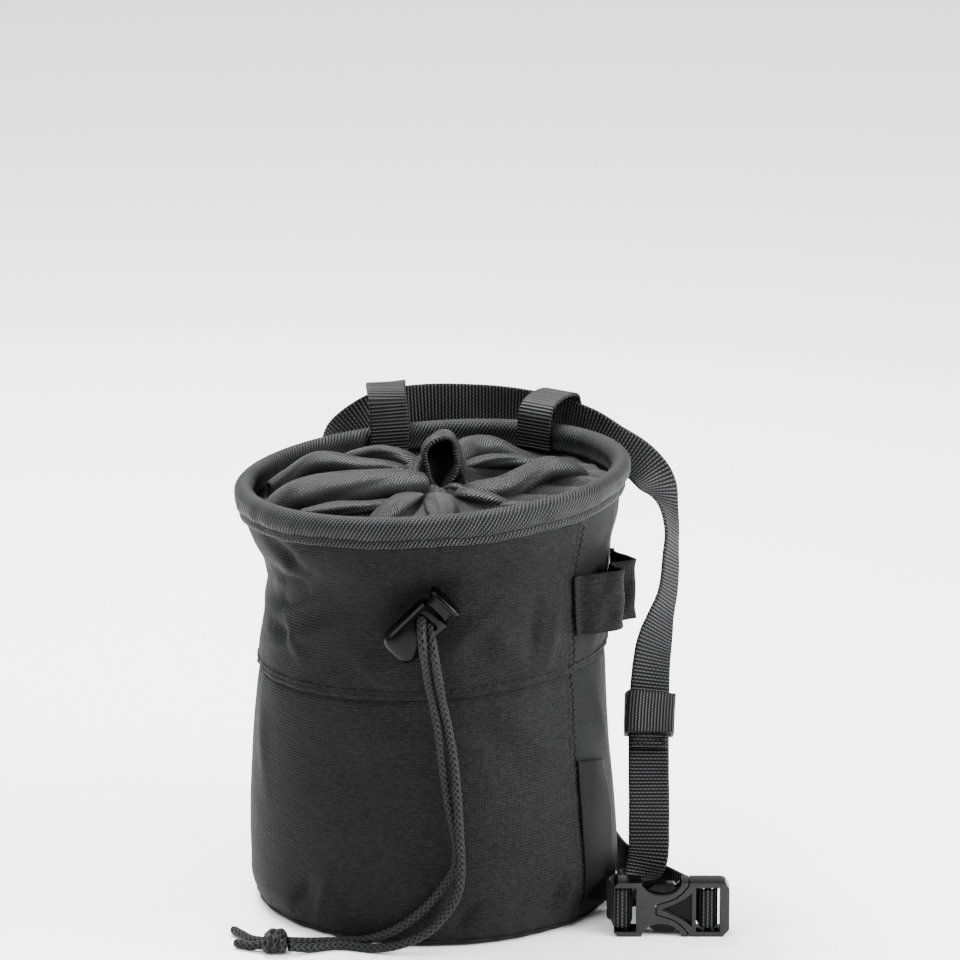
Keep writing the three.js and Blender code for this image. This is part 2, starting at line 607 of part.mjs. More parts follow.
function beltRows() {
  const start = wrapRows(BAR_X, BAR_THICK / 2, BAR_THICK / 2, [
    [1.35, -2.3],
    [1.15, -0.8],
    [0.95, 0.55],
    [0.35, 1.02],
    [-0.4, 1.0],
    [-0.98, 0.45],
    [-1.12, -0.6],
  ]);
  const ladderX = BUCKLE_X + (LADDER_FROM + LADDER_TO) / 2;
  const end = wrapRows(ladderX, (LADDER_TO - LADDER_FROM) / 2, LADDER_THICK / 2, [
    [-1.35, -2.2],
    [-1.05, -0.7],
    [-0.92, 0.5],
    [-0.5, 1.0],
    [0.5, 1.0],
    [0.92, 0.5],
    [1.05, -0.7],
    [1.1, -2.3],
  ]);
  const nearBar = beside(BUCKLE_X, FROM_BAR);
  const free = BELT_ROUTE.map((row) => ({ place: beltPlace(row), side: widthDirection(row) }));
  const nearLadder = beside(ladderX, TO_LADDER);
  return [...start, ...nearBar, ...free, ...nearLadder, ...end];
}

const beltRoute = new StripRoute(beltRows());

// A band round the belt from one distance along it to another, with room in front for the tail.
const KEEPER_FROM = 100.6; // along the belt, from its end in the buckle
function keeper() {
  const half = WEBBING / 2 + GAP;
  const front = -WEBBING_THICK / 2 - 4 * GAP - TAIL_THICK;
  const behind = WEBBING_THICK / 2 + 2 * GAP;
  const bottom = beltRoute.frameAtLength(KEEPER_FROM);
  const top = beltRoute.frameAtLength(KEEPER_FROM + KEEPER_HEIGHT);
  const rows = [];
  for (const [x, y] of [[1, -1], [1, 1], [-1, 1], [-1, -1]]) {
    const out = y < 0 ? front : behind;
    const point = (frame, thick) => offset(frame, x * (half + thick), out + y * thick);
    rows.push([point(bottom, 0), point(bottom, KEEPER_THICK), point(top, KEEPER_THICK), point(top, 0)]);
  }
  return skin(rows, "ring");
}

// The belt's folded end, on the front of the standing part. It shows below the keeper.
const TAIL_SHOWS = 5.5;
function tail() {
  const out = -(WEBBING_THICK / 2 + 2.4 * GAP + TAIL_THICK / 2);
  const sections = [];
  for (const share of [0, 0.25, 0.5, 0.75, 1]) {
    const frame = beltRoute.frameAtLength(KEEPER_FROM - TAIL_SHOWS + share * TAIL_LENGTH);
    frame.place = offset(frame, 0, out);
    sections.push(stripSection(frame, WEBBING - 0.4, TAIL_THICK));
  }
  return skin(sections, "capped");
}

// Plates in the buckle's frame: an outline in (along, up) that is `deep` thick, starting `from` off the back.
function plate(points, deep, from = 0) {
  const outline = new THREE.Shape(points.map(([along, up]) => new THREE.Vector2(along, up)));
  const geometry = new THREE.ExtrudeGeometry(outline, { depth: deep, bevelEnabled: false });
  return geometry.rotateX(Math.PI / 2).translate(0, -from, 0);
}

function block(from, to, low, high, deep, start) {
  return plate([[from, low], [to, low], [to, high], [from, high]], deep, start);
}

// The line where the two halves meet: half is the tongue's half height at a distance along.
const TONGUE = [
  { along: 15.6, half: 1.5 },
  { along: 17.0, half: 2.2 },
  { along: 20.0, half: 3.0 },
  { along: 22.8, half: 4.3 },
  { along: 25.2, half: 6.3 },
  { along: 27.2, half: 8.8 },
  { along: 28.2, half: 12 },
];
const SEAM_GAP = 0.4;
const POCKET_WALL = 1.2; // above and below the prongs' pocket
const SIDE_WINDOW = { along: 17.4, half: 7.3, deep: 5 };
const PRONG = { from: 11.2, thick: 4.2, low: 4.5, high: 7.3, pad: 9.0, padFrom: 13, padTo: 21.6 };

function tongueOutline(grow) {
  const middle = BUCKLE_WIDTH / 2;
  const upper = TONGUE.map((row) => [row.along - grow, middle + row.half + grow * 0.6]);
  const lower = TONGUE.map((row) => [row.along - grow, middle - row.half - grow * 0.6]).reverse();
  return [...lower, ...upper, [BUCKLE_LENGTH + 2, upper.at(-1)[1]], [BUCKLE_LENGTH + 2, lower[0][1]]];
}

// A half-round window cut into the edge at a height, towards the buckle's middle.
const WINDOW_STEPS = 8;
function sideWindow(edge, way) {
  const points = [];
  for (let i = 0; i <= WINDOW_STEPS; i++) {
    const turn = (Math.PI * i) / WINDOW_STEPS;
    const along = SIDE_WINDOW.along + SIDE_WINDOW.half * Math.cos(turn);
    points.push([along, edge + way * (SIDE_WINDOW.deep * Math.sin(turn) - 0.01)]);
  }
  return way < 0 ? points.reverse() : points;
}

function buckleFemale() {
  const last = TONGUE.at(-1).along + 1;
  const corner = 1.6;
  const outline = [
    [GAP, corner],
    [corner, 0],
    [last, 0],
    [last, BUCKLE_WIDTH],
    [corner, BUCKLE_WIDTH],
    [GAP, BUCKLE_WIDTH - corner],
  ];
  const all = [-1, BUCKLE_THICK + 1];
  const through = all[1] - all[0];
  const low = SLOT_SIDE;
  const high = BUCKLE_WIDTH - SLOT_SIDE;
  const barBack = (BUCKLE_THICK - BAR_THICK) / 2;
  const plateFrom = BAR_ALONG + BAR_THICK / 2 + SLOT_LONG;
  const pocketBack = (BUCKLE_THICK - PRONG.thick) / 2 - GAP;
  const pocketDeep = PRONG.thick + 2 * GAP;
  const pocketFrom = PRONG.from - 2 * GAP;
  const prongLow = PRONG.low - GAP;
  const middle = BUCKLE_WIDTH / 2;
  const cuts = [
    plate(tongueOutline(SEAM_GAP), through, all[0]),
    block(-1, BAR_ALONG - BAR_THICK / 2, low, high, through, all[0]),
    block(BAR_ALONG + BAR_THICK / 2, plateFrom, low, high, through, all[0]),
    block(-1, plateFrom - 1, low, high, barBack + 1, -1),
    block(-1, plateFrom - 1, low, high, barBack + 1, BUCKLE_THICK - barBack),
    plate(sideWindow(BUCKLE_WIDTH, -1), through, all[0]),
    plate(sideWindow(0, 1), through, all[0]),
    block(pocketFrom, last + 1, middle + prongLow, BUCKLE_WIDTH - POCKET_WALL, pocketDeep, pocketBack),
    block(pocketFrom, last + 1, POCKET_WALL, middle - prongLow, pocketDeep, pocketBack),
  ];
  return carve(plate(outline, BUCKLE_THICK), ...cuts);
}

function prong(side) {
  const middle = BUCKLE_WIDTH / 2;
  const up = (value) => middle + side * value;
  const points = [
    [PRONG.from, up(PRONG.low + 1)],
    [PRONG.from + 1, up(PRONG.low)],
    [LADDER_FROM - 3, up(PRONG.low)],
    [LADDER_FROM - 3, up(PRONG.high)],
    [PRONG.padTo + 2, up(PRONG.high)],
    [PRONG.padTo, up(PRONG.pad)],
    [PRONG.padFrom + 2, up(PRONG.pad)],
    [PRONG.padFrom, up(PRONG.high)],
    [PRONG.from, up(PRONG.high - 0.8)],
  ];
  if (side < 0) points.reverse();
  return plate(points, PRONG.thick, (BUCKLE_THICK - PRONG.thick) / 2);
}

// The tongue's hollow: half is its half height at a distance along.
const RECESS = [
  { along: 17.2, half: 0 },
  { along: 22.5, half: 2.4 },
  { along: 26.0, half: 4.4 },
  { along: 28.4, half: 6.4 },
];
const RECESS_DEEP = 3;

function buckleMale() {
  const end = BUCKLE_LENGTH;
  const low = SLOT_SIDE;
  const high = BUCKLE_WIDTH - SLOT_SIDE;
  const outline = [
    [0, 0],
    [end - 2.5, 0],
    [end, low + 0.8],
    [end, high - 0.5],
    [end - 1.4, high + 1.4],
    [end - 3, BUCKLE_WIDTH],
    [0, BUCKLE_WIDTH],
  ];
  const tongue = solidOf(plate(tongueOutline(0), BUCKLE_THICK));
  const frame = geometryOf(solidOf(plate(outline, BUCKLE_THICK)).intersect(tongue));
  const body = join(frame, prong(1), prong(-1));
  const slotFrom = LADDER_FROM - 3.1;
  const slotTo = LADDER_TO + 3;
  const spare = (BUCKLE_THICK - LADDER_THICK) / 2;
  const middle = BUCKLE_WIDTH / 2;
  const over = RECESS.slice(1).reverse().map((row) => [row.along, middle + row.half]);
  const recess = [...RECESS.map((row) => [row.along, middle - row.half]), ...over];
  return carve(
    body,
    block(slotFrom, LADDER_FROM, low, high, BUCKLE_THICK + 2, -1),
    block(LADDER_TO, slotTo, low, high, BUCKLE_THICK + 2, -1),
    block(LADDER_FROM - 1, LADDER_TO + 1, low, high, spare + 1, -1),
    block(LADDER_FROM - 1, LADDER_TO + 1, low, high, spare + 1, BUCKLE_THICK - spare),
    plate(recess, RECESS_DEEP + 1, BUCKLE_THICK - RECESS_DEEP),
  );
}

const buckle = new THREE.Group();
buckle.position.set(BUCKLE_X, BACK_Y, 0);
buckle.add(piece("buckle_female", buckleFemale(), PLASTIC_GREY));
buckle.add(piece("buckle_male", buckleMale(), PLASTIC_GREY));

// The cord lock in its own frame: x across the barrel, y out from its back to its front, z along it from its
// closed end to its mouth.
const LOCK_MOUTH = LOCK_LENGTH;
const HOLE_LOW = LOCK_MOUTH - HOLE_FROM_MOUTH - HOLE_HEIGHT / 2;
const HOLE_HIGH = HOLE_LOW + HOLE_HEIGHT;
const STEM_WIDTH = LOCK_WIDTH - 2 * (LOCK_WALL + GAP);
const STEM_DEPTH = LOCK_DEPTH - 2 * (LOCK_WALL + GAP);
const STEM_END = HOLE_LOW - 1.4; // what is left of the stem below the hole

// An upright oval column with flat sides: rows are [height, share of the full size].
const OVAL_STEPS = 16;
const OVAL_POWER = 0.62; // 1 is an ellipse and 0 a rectangle
function oval(width, depth, rows) {
  const flattened = (value) => Math.sign(value) * Math.abs(value) ** OVAL_POWER;
  const sections = rows.map(([height, share]) => {
    const outline = [];
    for (let i = 0; i < OVAL_STEPS; i++) {
      const turn = (2 * Math.PI * (i + 0.5)) / OVAL_STEPS;
      const x = (flattened(Math.cos(turn)) * width * share) / 2;
      const y = (flattened(Math.sin(turn)) * depth * share) / 2;
      outline.push(new THREE.Vector3(x, y, height));
    }
    return outline;
  });
  return skin(sections, "capped");
}

function slotThrough(width, low, high, depth) {
  const round = 1.2;
  const outline = new THREE.Shape();
  outline.moveTo(-width / 2 + round, low);
  outline.lineTo(width / 2 - round, low);
  outline.quadraticCurveTo(width / 2, low, width / 2, low + round);
  outline.lineTo(width / 2, high - round);
  outline.quadraticCurveTo(width / 2, high, width / 2 - round, high);
  outline.lineTo(-width / 2 + round, high);
  outline.quadraticCurveTo(-width / 2, high, -width / 2, high - round);
  outline.lineTo(-width / 2, low + round);
  outline.quadraticCurveTo(-width / 2, low, -width / 2 + round, low);
  const geometry = new THREE.ExtrudeGeometry(outline, { depth, bevelEnabled: false, curveSegments: 2 });
  return geometry.rotateX(Math.PI / 2).translate(0, depth / 2, 0);
}

function lockBarrel() {
  const shellRows = [
    [0, 0.66],
    [0.9, 0.88],
    [2.4, 1.02],
    [5, 1.08],
    [LOCK_MOUTH, 1],
  ];
  const shell = oval(LOCK_WIDTH, LOCK_DEPTH, shellRows);
  const boreRows = [
    [STEM_END - PLUNGER_TRAVEL - GAP, 1],
    [LOCK_MOUTH + 1, 1],
  ];
  const bore = oval(LOCK_WIDTH - 2 * LOCK_WALL, LOCK_DEPTH - 2 * LOCK_WALL, boreRows);
  return carve(shell, bore, slotThrough(HOLE_WIDTH, HOLE_LOW, HOLE_HIGH, LOCK_DEPTH + 4));
}

function lockPlunger() {
  const headFrom = LOCK_MOUTH + PLUNGER_OUT - PLUNGER_HEAD;
  const stemRows = [
    [STEM_END, 1],
    [headFrom + PLUNGER_HEAD / 4, 1],
  ];
  const headRows = [
    [headFrom, 0.94],
    [headFrom + PLUNGER_HEAD * 0.35, 1],
    [headFrom + PLUNGER_HEAD * 0.7, 0.99],
    [headFrom + PLUNGER_HEAD, 0.86],
  ];
  const stem = oval(STEM_WIDTH, STEM_DEPTH, stemRows);
  const head = oval(LOCK_WIDTH + 0.6, LOCK_DEPTH - 0.4, headRows);
  const slot = slotThrough(HOLE_WIDTH, HOLE_LOW, HOLE_HIGH + PLUNGER_TRAVEL, LOCK_DEPTH + 4);
  return carve(join(stem, head), slot);
}

// The lock's back rests on the part of the bag's front that stands out furthest under it.
function frontOfBag() {
  let front = 0;
  const lean = degrees(LOCK_LEAN);
  for (const along of [-LOCK_LENGTH / 2, 0, LOCK_LENGTH / 2, LOCK_LENGTH / 2 + PLUNGER_OUT]) {
    for (const across of [-LOCK_WIDTH / 4, 0, LOCK_WIDTH / 4]) {
      const x = LOCK_X + along * Math.cos(lean) + across * Math.sin(lean);
      const z = LOCK_Z + along * Math.sin(lean) - across * Math.cos(lean);
      const angle = Math.atan2(-BODY_RADIUS, x);
      front = Math.min(front, onWall(angle, z).y);
    }
  }
  return front;
}

const LOCK_Y = frontOfBag() - LOCK_STAND_OFF - LOCK_DEPTH / 2;
const lock = new THREE.Group();
lock.position.set(LOCK_X, LOCK_Y, LOCK_Z);
lock.rotation.y = degrees(90 - LOCK_LEAN);
const lockMiddle = new THREE.Group();
lockMiddle.position.z = -LOCK_LENGTH / 2;
lockMiddle.add(piece("cord_lock_barrel", lockBarrel(), PLASTIC_BLACK));
lockMiddle.add(piece("cord_lock_plunger", lockPlunger(), PLASTIC_BLACK));
lock.add(lockMiddle);

// The drawcord's two strands, from behind the lock through its hole, down the bag's front and along the
// floor to the knot. Points chosen by hand, in millimetres.
const CORD_A = [
  [-3.7, -61.0, 125.0], [-3.7, -67, 124.9], [-3.7, -72, 124.3], [-3.6, -76.2, 121.9], [-3.1, -77.9, 116.4],
  [-2.0, -76.0, 109], [-1.1, -72.2, 101.5], [0.2, -69.2, 93.5], [2.0, -68.4, 84], [3.3, -68.2, 72.3],
  [4.9, -68.4, 61], [6.4, -68.8, 51.5], [7.9, -69.0, 44], [8.6, -69.2, 37.3], [7.8, -69.2, 31.5],
  [4.6, -69.4, 26], [-0.9, -69.8, 18.8], [-10.3, -70.0, 10.6], [-21.4, -67.6, 4.6], [-33.4, -62.9, 1.9],
  [-44.2, -63.6, 1.9], [-52.3, -66.8, 3.2],
];
const CORD_B = [
  [-1.2, -61.0, 122.4], [-1.2, -67, 122.3], [-1.0, -72, 121.7], [-0.1, -76.0, 119.2], [0.8, -77.7, 114],
  [1.7, -76.2, 108], [2.6, -72.6, 101], [3.6, -69.6, 94], [5.6, -68.6, 84.4], [7.6, -68.9, 72.3],
  [8.8, -70.2, 61], [9.4, -71.6, 51.4], [9.8, -72.3, 44.1], [10.2, -72.7, 37.1], [10.2, -73.0, 30],
  [8.8, -73.3, 22.4], [5.0, -73.6, 16.1], [-1.6, -74.0, 9.3], [-10.3, -73.6, 4.7], [-19.2, -71.4, 2.2],
  [-33.4, -67.0, 1.9], [-44, -70.3, 1.9], [-51.5, -72.8, 3.2],
];
const TAIL_A = [[-57.6, -68.4, 4.0], [-65.0, -61.5, 2.0], [-69.2, -55.4, 1.9], [-72.6, -50.0, 1.9]];
const TAIL_B = [[-58.0, -70.2, 4.0], [-65.0, -68.0, 2.0], [-68.4, -66.2, 1.9], [-71.4, -64.6, 1.9]];
const KNOT = { x: -56.6, y: -69.7, z: 4.5, long: 5.0, wide: 5.4, high: 4.4 };

function cordTube(points, stepLength) {
  const places = points.map((point) => new THREE.Vector3(...point));
  const route = new THREE.CatmullRomCurve3(places, false, "centripetal");
  const outline = new THREE.Shape();
  for (let i = 0; i < 8; i++) {
    const turn = (2 * Math.PI * i) / 8;
    const [x, y] = [(CORD / 2) * Math.cos(turn), (CORD / 2) * Math.sin(turn)];
    if (i === 0) outline.moveTo(x, y);
    else outline.lineTo(x, y);
  }
  const steps = Math.ceil(route.getLength() / stepLength);
  return new THREE.ExtrudeGeometry(outline, { steps, extrudePath: route, bevelEnabled: false });
}

function knot() {
  const ball = new THREE.SphereGeometry(1, 10, 7);
  ball.scale(KNOT.long, KNOT.wide, KNOT.high);
  ball.translate(KNOT.x, KNOT.y, KNOT.z);
  return join(ball, cordTube(TAIL_A, 2 * CORD), cordTube(TAIL_B, 2 * CORD));
}

// The brush sleeve, sewn into the upright seam: a band that stands off the wall in two lobes. turn is degrees
// of plan angle from the seam and out is millimetres from the wall's outer face to the band's middle.
const SLEEVE_ON_WALL = GAP + SLEEVE_CLOTH / 2;
const SLEEVE_ROUTE = [
  { turn: 0.3, out: SLEEVE_ON_WALL },
  { turn: 2.2, out: SLEEVE_ON_WALL + 0.8 },
  { turn: 4.9, out: 5.4 },
  { turn: 7.4, out: 8.2 },
  { turn: 10.6, out: 11.6 },
  { turn: 12.6, out: 11.0 },
  { turn: 14.2, out: 7.4 },
  { turn: 16.4, out: 4.4 },
  { turn: 19.0, out: 6.8 },
  { turn: 21.6, out: 10.3 },
  { turn: 23.6, out: 8.8 },
  { turn: 28.0, out: 3.0 },
  { turn: 30.6, out: SLEEVE_ON_WALL + 0.1 },
  { turn: 34.0, out: SLEEVE_ON_WALL },
];

function brushSleeve() {
  const middle = SLEEVE_TOP - SLEEVE_HEIGHT / 2;
  const side = new THREE.Vector3(0, 0, 1);
  const rows = SLEEVE_ROUTE.map((row) => {
    const turn = degrees(SIDE_SEAM + row.turn);
    const levels = [-0.5, 0, 0.5].map((share) => wallRadius(turn, middle + share * SLEEVE_HEIGHT));
    return { place: onWall(turn, middle, row.out + Math.max(...levels) - levels[1]), side };
  });
  return strip(new StripRoute(rows), SLEEVE_HEIGHT, SLEEVE_CLOTH, 44);
}

// The label: a flap sewn in at the upright seam that droops and stands off a little towards its free corners.
const LABEL_LIFT = 1.8;
const LABEL_DROOP = 4.8; // its free edge hangs lower than its sewn one
const LABEL_FROM = 1.5; // degrees from the upright seam
function label() {
  const columns = [0, 0.25, 0.5, 0.75, 1];
  const sections = [0, 0.25, 0.5, 0.75, 1].map((share) => {
    const height = LABEL_TOP - LABEL_HEIGHT * (1 - share);
    const at = (column, thick) => {
      const lift = LABEL_LIFT * column * column * (1 - share);
      const turn = degrees(SIDE_SEAM + LABEL_FROM + LABEL_TURN * column);
      return onWall(turn, height - LABEL_DROOP * column, 2 * GAP + lift + thick);
    };
    const face = columns.map((column) => at(column, LABEL_CLOTH));
    const back = columns.map((column) => at(column, 0));
    return [...face, ...back.reverse()];
  });
  return skin(sections, "capped");
}

const group = new THREE.Group();
group.add(piece("body_upper", upperPanel(), NYLON_BLACK));
group.add(piece("body_lower", lowerPanel(), NYLON_BLACK));
group.add(piece("base_panel", basePanel(), NYLON_BLACK));
group.add(piece("rim_binding", rimBinding(), WEBBING_BLACK));
group.add(piece("closure", closure(), CLOSURE_BLACK));
for (const loop of LOOPS) group.add(piece(loop.name, beltLoop(loop), WEBBING_BLACK));
group.add(piece("belt", strip(beltRoute, WEBBING, WEBBING_THICK, 104), WEBBING_BLACK));
group.add(piece("belt_keeper", keeper(), WEBBING_BLACK));
group.add(piece("belt_tail", tail(), WEBBING_BLACK));
group.add(buckle);
group.add(lock);
group.add(piece("cord_a", cordTube(CORD_A, 2.2 * CORD), WEBBING_BLACK));
group.add(piece("cord_b", cordTube(CORD_B, 2.2 * CORD), WEBBING_BLACK));
group.add(piece("cord_knot", knot(), WEBBING_BLACK));
group.add(piece("brush_sleeve", brushSleeve(), NYLON_BLACK));
group.add(piece("label", label(), LABEL_GREY));

export default group;
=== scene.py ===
# %% [markdown]
# # A climbing chalk bag
# The CAD model gives every piece its place and size. This file gives the pieces their cloth, tape,
# webbing, cord and plastic. It starts by loading that model as a fixed frame, and every mesh below is
# made in place. Lengths are written in millimetres, as for cloth and webbing, and turned into metres when
# a mesh is made.

# %% Load the frame
import math
import bmesh
import bpy
import numpy as np
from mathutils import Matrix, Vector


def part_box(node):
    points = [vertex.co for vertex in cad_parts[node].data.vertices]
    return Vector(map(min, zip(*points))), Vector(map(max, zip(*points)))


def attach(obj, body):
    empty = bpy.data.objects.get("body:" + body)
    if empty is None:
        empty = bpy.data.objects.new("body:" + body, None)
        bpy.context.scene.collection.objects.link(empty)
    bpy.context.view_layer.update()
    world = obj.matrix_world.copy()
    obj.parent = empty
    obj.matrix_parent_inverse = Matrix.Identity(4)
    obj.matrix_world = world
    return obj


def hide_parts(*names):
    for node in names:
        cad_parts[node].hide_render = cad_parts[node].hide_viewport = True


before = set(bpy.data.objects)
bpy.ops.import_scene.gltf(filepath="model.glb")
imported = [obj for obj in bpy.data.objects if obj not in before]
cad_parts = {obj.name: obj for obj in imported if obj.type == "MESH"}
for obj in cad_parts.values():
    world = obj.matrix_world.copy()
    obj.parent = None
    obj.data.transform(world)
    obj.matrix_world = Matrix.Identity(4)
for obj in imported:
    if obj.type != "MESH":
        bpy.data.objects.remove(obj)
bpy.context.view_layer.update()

MM = 0.001

# %% [markdown]
# ## The camera, the floor and the light
# The bag is seen from its front and a little above, through a long lens, so its sides hardly converge.
# The camera looks at a point near the bag's middle from 15 degrees above it.

# %% Camera
LOOK_AT = np.array([0.017, 0.0, 0.157])
DISTANCE = 2.2
ELEVATION = math.radians(15)
FOCAL_PIXELS = 6050  # focal length as a number of pixels of the 960 pixel frame
camera = bpy.data.objects.new("camera", bpy.data.cameras.new("camera"))
bpy.context.collection.objects.link(camera)
camera.location = LOOK_AT + DISTANCE * np.array([0, -math.cos(ELEVATION), math.sin(ELEVATION)])
camera.rotation_euler = (math.pi / 2 - ELEVATION, 0, 0)
camera.data.lens = camera.data.sensor_width * FOCAL_PIXELS / 960
camera.data.clip_end = 20
bpy.context.scene.camera = camera
print("lens:", round(camera.data.lens, 1), "mm")

# %% [markdown]
# Black cloth shows its folds only by the soft light that slides over them. So the room is white, the
# floor is pale, and soft lamps stand on the left, on the right and behind the bag, under a wide bright
# ceiling.


# %% Floor and lamps
def plain_material(name, colour, roughness):
    material = bpy.data.materials.new(name)
    material.use_nodes = True
    surface = material.node_tree.nodes["Principled BSDF"]
    surface.inputs["Base Color"].default_value = (*colour, 1)
    surface.inputs["Roughness"].default_value = roughness
    return material


def lamp(name, place, aim, size, watts):
    made = bpy.data.objects.new(name, bpy.data.lights.new(name, "AREA"))
    made.data.energy = watts
    made.data.size = size
    bpy.context.collection.objects.link(made)
    made.location = place
    direction = np.array(place) - np.array(aim)
    tip = math.atan2(math.hypot(direction[0], direction[1]), direction[2])
    made.rotation_euler = (tip, 0, math.atan2(direction[1], direction[0]) + math.pi / 2)
    return made


bpy.ops.mesh.primitive_plane_add(size=14)
floor = bpy.context.object
floor.name = "floor"
floor.data.materials.append(plain_material("pale floor", (0.95, 0.95, 0.95), 0.7))

BAG_MIDDLE = (0, 0, 0.09)
lamp("left lamp", (-0.9, -0.55, 0.75), BAG_MIDDLE, 0.5, 6)
lamp("right lamp", (1.0, -0.35, 0.45), BAG_MIDDLE, 0.6, 38)
lamp("top lamp", (-0.25, 0.45, 1.0), BAG_MIDDLE, 0.45, 40)
ceiling = lamp("ceiling", (-0.6, -0.4, 3.0), BAG_MIDDLE, 1, 1)
ceiling.data.type = "SUN"
ceiling.data.angle = math.radians(75)
ceiling.data.energy = 4.2
world = bpy.data.worlds.new("white room")
bpy.context.scene.world = world
world.use_nodes = True
world.node_tree.nodes["Background"].inputs["Color"].default_value = (1, 1, 1, 1)
world.node_tree.nodes["Background"].inputs["Strength"].default_value = 0.7

# %% [markdown]
# ## Meshes from rows of points
# Cloth, tape and cord are all surfaces swept along something. Blender's curves could sweep one outline,
# but here the outline changes on its way, as a hem ripples and webbing swells at each rib. So one
# function turns a grid of points into a mesh, and stores on it where each corner lies in the cloth, in
# millimetres. The materials read that place, and a weave follows its cloth round every fold.


# %% Grid meshes
def grid_mesh(name, points, weave=None, closed_rows=False, closed_columns=False, caps=False):
    """A mesh from points[row][column] in millimetres; weave holds (along, across) for every corner."""
    points = np.asarray(points, float)
    rows, columns = points.shape[:2]
    row_steps = rows if closed_rows else rows - 1
    column_steps = columns if closed_columns else columns - 1
    i, j = np.meshgrid(np.arange(row_steps), np.arange(column_steps), indexing="ij")
    corners = [(i, j), (i, j + 1), (i + 1, j + 1), (i + 1, j)]
    quads = np.stack([(a % rows) * columns + b % columns for a, b in corners], -1).reshape(-1, 4)
    faces = quads.tolist()
    if caps:
        faces.append(list(range(columns)))
        faces.append([(rows - 1) * columns + k for k in range(columns)])
    mesh = bpy.data.meshes.new(name)
    mesh.from_pydata((points.reshape(-1, 3) * MM).tolist(), [], faces)
    place = np.zeros((len(mesh.loops), 3), np.float32)
    if weave is not None:
        weave = np.asarray(weave, np.float32)
        last_row, last_column = weave.shape[0] - 1, weave.shape[1] - 1
        spots = [weave[np.minimum(a, last_row), np.minimum(b, last_column)] for a, b in corners]
        spots = np.stack(spots, 2)
        place[: quads.size, :2] = spots.reshape(-1, 2)
    stored = mesh.attributes.new("weave", "FLOAT_VECTOR", "CORNER")
    stored.data.foreach_set("vector", place.ravel())
    mesh.polygons.foreach_set("use_smooth", [True] * len(mesh.polygons))
    made = bpy.data.objects.new(name, mesh)
    bpy.context.collection.objects.link(made)
    return made


def woven(along, across):
    """(along, across) of every corner of a grid, from its rows' and its columns' own."""
    return np.stack(np.meshgrid(along, across, indexing="ij"), -1)


def running(points):
    """The distance of every point along the line through them."""
    return np.concatenate([[0], np.cumsum(np.linalg.norm(np.diff(points, axis=0), axis=1))])


def face_outwards(made):
    work = bmesh.new()
    work.from_mesh(made.data)
    bmesh.ops.recalc_face_normals(work, faces=work.faces)
    work.to_mesh(made.data)
    work.free()


def dress(made, body, material, slot, *nodes):
    """Give a piece its material, its body and the CAD nodes that it stands for; slot is not used."""
    made.data.materials.append(material)
    face_outwards(made)
    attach(made, body)
    if nodes:
        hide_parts(*nodes)
    print(made.name, "-", len(made.data.polygons), "faces")
    return made


def applied(made, modifier):
    bpy.context.view_layer.objects.active = made
    bpy.ops.object.modifier_apply(modifier=modifier.name)


def round_edges(made, width, segments, angle, material=-1):
    """Bevels the edges that are sharper than angle, with this material index on the new faces."""
    bevel = made.modifiers.new("round edges", "BEVEL")
    bevel.width = width * MM
    bevel.segments = segments
    bevel.limit_method = "ANGLE"
    bevel.angle_limit = math.radians(angle)
    bevel.material = material
    applied(made, bevel)
    made.data.polygons.foreach_set("use_smooth", [True] * len(made.data.polygons))


def joined(name, made):
    """One object from several, with their weave places kept."""
    work = bmesh.new()
    for each in made:
        work.from_mesh(each.data)
        bpy.data.objects.remove(each)
    mesh = bpy.data.meshes.new(name)
    work.to_mesh(mesh)
    work.free()
    whole = bpy.data.objects.new(name, mesh)
    bpy.context.collection.objects.link(whole)
    return whole


# %% [markdown]
# ## Finishes
# A weave could be a picture laid on the cloth, but a calculation stays sharp at any distance and follows
# the cloth's own places: where a thread crosses over, how it fades into the next one. A class wraps a
# socket of the material, so that the calculation reads as plain arithmetic.


# %% Shader arithmetic
class Wire:
    """A value that varies over a surface. Arithmetic on it adds Math nodes to its material."""

    def __init__(self, finish, socket):
        self.finish = finish
        self.socket = socket

    def maths(self, operation, *values):
        return self.finish.node("Math", {"operation": operation}, values)

    def __add__(self, other):
        return self.maths("ADD", self, other)

    __radd__ = __add__

    def __mul__(self, other):
        return self.maths("MULTIPLY", self, other)

    __rmul__ = __mul__

    def __sub__(self, other):
        return self.maths("SUBTRACT", self, other)

    def __rsub__(self, other):
        return self.maths("SUBTRACT", other, self)

    def __truediv__(self, other):
        return self.maths("DIVIDE", self, other)

    def __pow__(self, other):
        return self.maths("POWER", self, other)

    def wave(self):
        """From 0 to 1 and back once in every unit."""
        return self.maths("COSINE", self * math.tau) * -0.5 + 0.5

    def floor(self):
        return self.maths("FLOOR", self)

    def within(self, low, high):
        """0 below low, 1 above high and a straight climb between them."""
        settings = {"clamp": True}
        return self.finish.node("MapRange", settings, (self, low, high, 0.0, 1.0))


